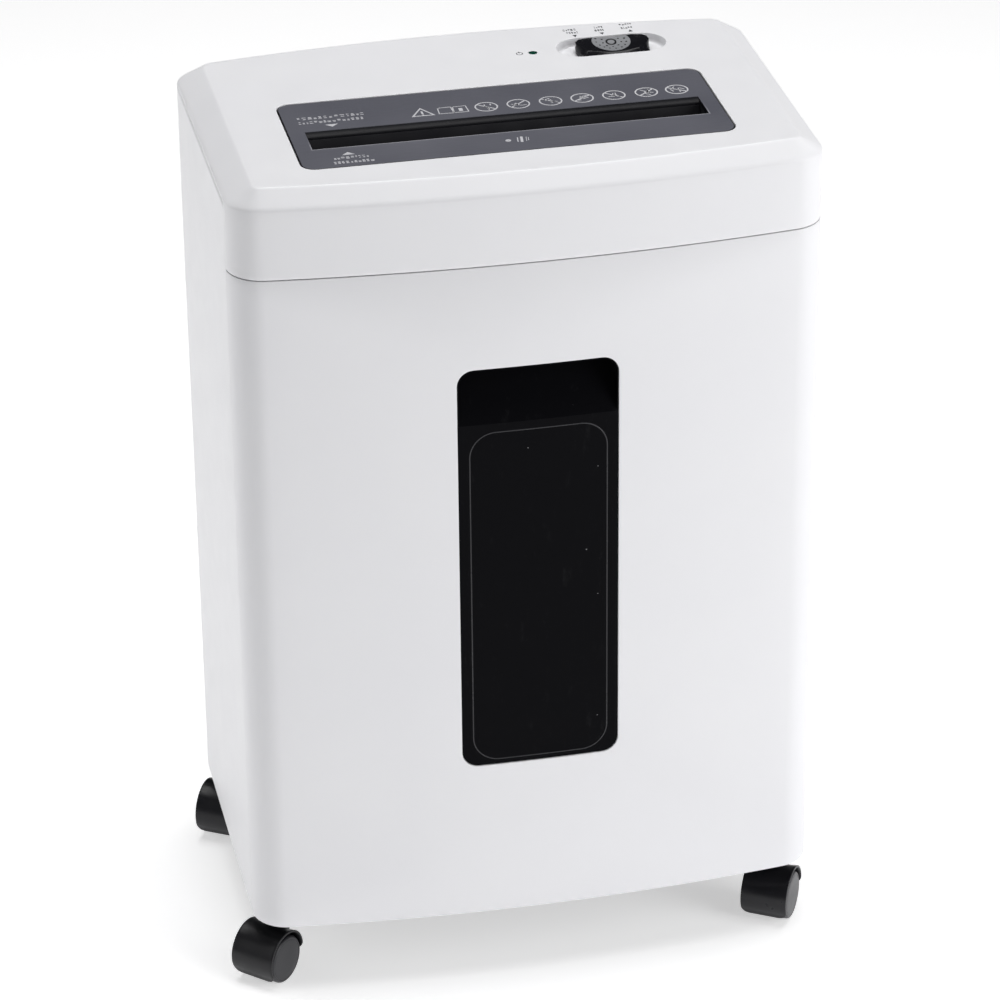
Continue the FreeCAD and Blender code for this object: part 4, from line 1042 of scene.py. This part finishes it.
def hoodPoint(along):
    # a point of the hood's outer side, by the distance from the skirt's lower edge
    low, high = math.radians(caster["low"]), math.radians(caster["high"])
    footY = caster["trail"] + caster["radius"] * math.cos(low)
    footZ = caster["middle"] + caster["radius"] * math.sin(low)
    skirt = math.hypot(footY - caster["skirtY"], footZ - caster["skirtZ"])
    if along < skirt:
        share = along / skirt
        return (caster["skirtY"] + (footY - caster["skirtY"]) * share,
                caster["skirtZ"] + (footZ - caster["skirtZ"]) * share, 0.0)
    turn = min(high, low + (along - skirt) / caster["radius"])
    dip = caster["dip"] * min(1.0, max(0.0, (math.degrees(turn) - 10) / 50))
    y, z = caster["radius"] * math.cos(turn), caster["radius"] * math.sin(turn)
    return caster["trail"] + y, caster["middle"] + z, dip


def buildHood(name):
    bm = bmesh.new()
    rows, across = 60, 18
    length = caster["radius"] * math.radians(caster["high"] - caster["low"]) + caster["skirt"]
    corner = caster["corner"]
    bmesh.ops.create_grid(bm, x_segments=across, y_segments=rows, size=1)
    for vert in bm.verts:
        x, share = vert.co.x, (vert.co.y + 1) / 2
        share -= 0.1 * math.sin(2 * math.pi * share) / math.pi  # rows stand closer near both ends
        along = share * length
        near = min(corner, along, length - along)
        half = caster["half"] - corner + math.sqrt(max(0.0, corner ** 2 - (corner - near) ** 2))
        y, z, dip = hoodPoint(along)
        inward = Vector((caster["trail"] - y, caster["middle"] - z)).normalized() * dip * (1 - x ** 4)
        vert.co = (x * half, y + inward.x, z + inward.y)
    piece = makePiece(
        "hoodShell_" + name, bm, "caster_" + name, "black_plastic", ["hood_" + name], 40,
        (0, caster["trail"], 12), station(name), hoodCoat)
    walled(piece, caster["wall"])
    edge = piece.modifiers.new("edge", "BEVEL")
    edge.width = 0.55 * mm
    edge.segments = 2
    edge.limit_method = "ANGLE"
    edge.angle_limit = math.radians(60)


def buildFork(name):
    # the web between the wheels and the boss round the stem
    bm = bmesh.new()
    made = bmesh.ops.create_cube(bm, size=1)
    low = (caster["trail"] - 10, caster["wheelRadius"] - 5)
    high = (caster["trail"] + 8, caster["middle"] + 14)
    size = Matrix.Diagonal((caster["web"] * 2, high[0] - low[0], high[1] - low[1], 1))
    centre = Matrix.Translation((0, (low[0] + high[0]) / 2, (low[1] + high[1]) / 2))
    bmesh.ops.transform(bm, matrix=centre @ size, verts=made["verts"])
    softened(bm, bm.edges[:], 0.6, 2)
    bore = caster["stemBore"]
    section = (
        (8.0, 27.0), (6.6, 30.5), (6.0, 33.0), (6.0, 40.5), (5.6, 41.2),
        (bore, 41.2), (bore, 32.5), (bore, 27.0))
    loops = [flat(circle(0, 0, radius, 40), z) for radius, z in section]
    loft(bm, loops + [loops[0]])
    makePiece("fork_" + name, bm, "caster_" + name, "black_plastic", turned=station(name), finish=hoodCoat)


def spun(bm, pairs):
    # turns a profile of (along the axle, radius) into a skin
    verts = [bm.verts.new((x, 0, radius)) for x, radius in pairs]
    edges = [bm.edges.new(pair) for pair in zip(verts, verts[1:])]
    bmesh.ops.spin(
        bm, geom=verts + edges, cent=(0, 0, 0), axis=(1, 0, 0), dvec=(0, 0, 0), angle=2 * math.pi, steps=72,
        use_merge=True, use_duplicate=False)


def buildWheel(name, side):
    bm = bmesh.new()
    inner, outer = caster["web"] + 0.4, caster["half"] - 0.3
    radius, bore = caster["wheelRadius"], caster["axleBore"]
    profile = [
        (inner, bore), (inner, 9.5), (inner + 0.5, 10.2), (inner + 0.5, 12.4), (inner + 0.1, 13.2),
        (inner + 0.2, 13.9), (inner + 0.7, 14.35), (inner + 1.5, radius), (outer - 2.2, radius),
        (outer - 1.4, radius - 0.08), (outer - 0.8, radius - 0.3), (outer - 0.4, radius - 0.65),
        (outer - 0.18, radius - 1.1), (outer - 0.1, radius - 1.6), (outer - 0.12, radius - 1.8),
        (outer - 0.26, radius - 1.95), (outer - 0.26, radius - 2.1), (outer - 0.12, radius - 2.25),
        (outer - 0.05, radius - 3.2), (outer, radius - 6.0), (outer, 0.0),
    ]
    spun(bm, [(side * x, reach) for x, reach in profile])
    spun(bm, [(side * inner, bore), (side * (outer - 2.2), bore), (side * (outer - 2.2), 0.0)])
    bmesh.ops.translate(bm, vec=(0, caster["trail"], caster["wheelRadius"]), verts=bm.verts)
    label = "%s_%s" % (name, "left" if side < 0 else "right")
    makePiece(
        "wheelDisc_" + label, bm, "wheel_" + label, "wheel_tread", ["wheel_" + label],
        32, None, station(name))


for casterName in caster["places"]:
    buildHood(casterName)
    buildFork(casterName)
    buildWheel(casterName, -1)
    buildWheel(casterName, 1)
print("casters built")


# ---- studio ----

studio = {
    "target": (-0.03, -5.0, 256.3), "distance": 2584.0, "heading": 11.79, "tilt": 27.78, "roll": -0.60,
    "lens": 159.55,
    "world": 0.0, "floorGlow": 0.52,
    "lamps": (
        # place, aimed at, width, height, power
        ((1700, -1500, 1300), (0, 0, 260), 1500, 1500, 19.2),
        ((2000, -1600, 500), (0, 0, 250), 1300, 1300, 14.8),
        ((-2000, -150, 1000), (0, 0, 280), 1300, 1500, 3.9),
        ((-1900, 900, 900), (0, 0, 280), 1300, 1500, 6.4),
        ((100, 200, 2300), (0, 0, 300), 1900, 1500, 36.4),
    ),
}


def buildCamera():
    heading, tilt, roll = (math.radians(studio[key]) for key in ("heading", "tilt", "roll"))
    ahead = Vector((math.sin(heading) * math.cos(tilt), math.cos(heading) * math.cos(tilt), -math.sin(tilt)))
    right = Vector((math.cos(heading), -math.sin(heading), 0))
    up = right.cross(ahead)
    across = math.cos(roll) * right + math.sin(roll) * up
    upwards = -math.sin(roll) * right + math.cos(roll) * up
    data = bpy.data.cameras.new("camera")
    data.sensor_width = 36.0
    data.lens = studio["lens"]
    data.clip_start, data.clip_end = 0.1, 100.0
    camera = bpy.data.objects.new("camera", data)
    turn = Matrix((across, upwards, -ahead)).transposed().to_4x4()
    centre = (Vector(studio["target"]) - ahead * studio["distance"]) * mm
    camera.matrix_world = Matrix.Translation(centre) @ turn
    scene.collection.objects.link(camera)
    scene.camera = camera


def buildLamps():
    for number, (spot, aim, width, height, power) in enumerate(studio["lamps"]):
        data = bpy.data.lights.new("lamp%d" % number, "AREA")
        data.shape = "RECTANGLE"
        data.size, data.size_y = width * mm, height * mm
        data.energy = power
        lamp = bpy.data.objects.new("lamp%d" % number, data)
        turn = (Vector(aim) - Vector(spot)).to_track_quat("-Z", "Y").to_matrix().to_4x4()
        lamp.matrix_world = Matrix.Translation(Vector(spot) * mm) @ turn
        scene.collection.objects.link(lamp)
    world = bpy.data.worlds.new("studioAir")
    world.use_nodes = True
    air = world.node_tree.nodes["Background"]
    air.inputs["Color"].default_value = (1.0, 1.0, 1.0, 1)
    air.inputs["Strength"].default_value = studio["world"]
    scene.world = world


def buildFloor():
    bm = bmesh.new()
    bmesh.ops.create_circle(bm, cap_ends=True, segments=64, radius=30.0)
    mesh = bpy.data.meshes.new("floor")
    bm.to_mesh(mesh)
    bm.free()
    finish, tree, shader = newFinish("paleFloor")
    tone = blended(tree, cloud(tree, place(tree), 3.0), (0.93, 0.93, 0.93), (0.91, 0.91, 0.92))
    wire(tree, tone, shader, "Base Color")
    shader.inputs["Roughness"].default_value = 0.8
    shader.inputs["Specular IOR Level"].default_value = 0.1
    shader.inputs["Emission Color"].default_value = (1, 1, 1, 1)
    shader.inputs["Emission Strength"].default_value = studio["floorGlow"]
    mesh.materials.append(finish)
    floor = bpy.data.objects.new("floor", mesh)
    scene.collection.objects.link(floor)


buildCamera()
buildLamps()
buildFloor()
scene.view_settings.view_transform = "Standard"
print("studio set")
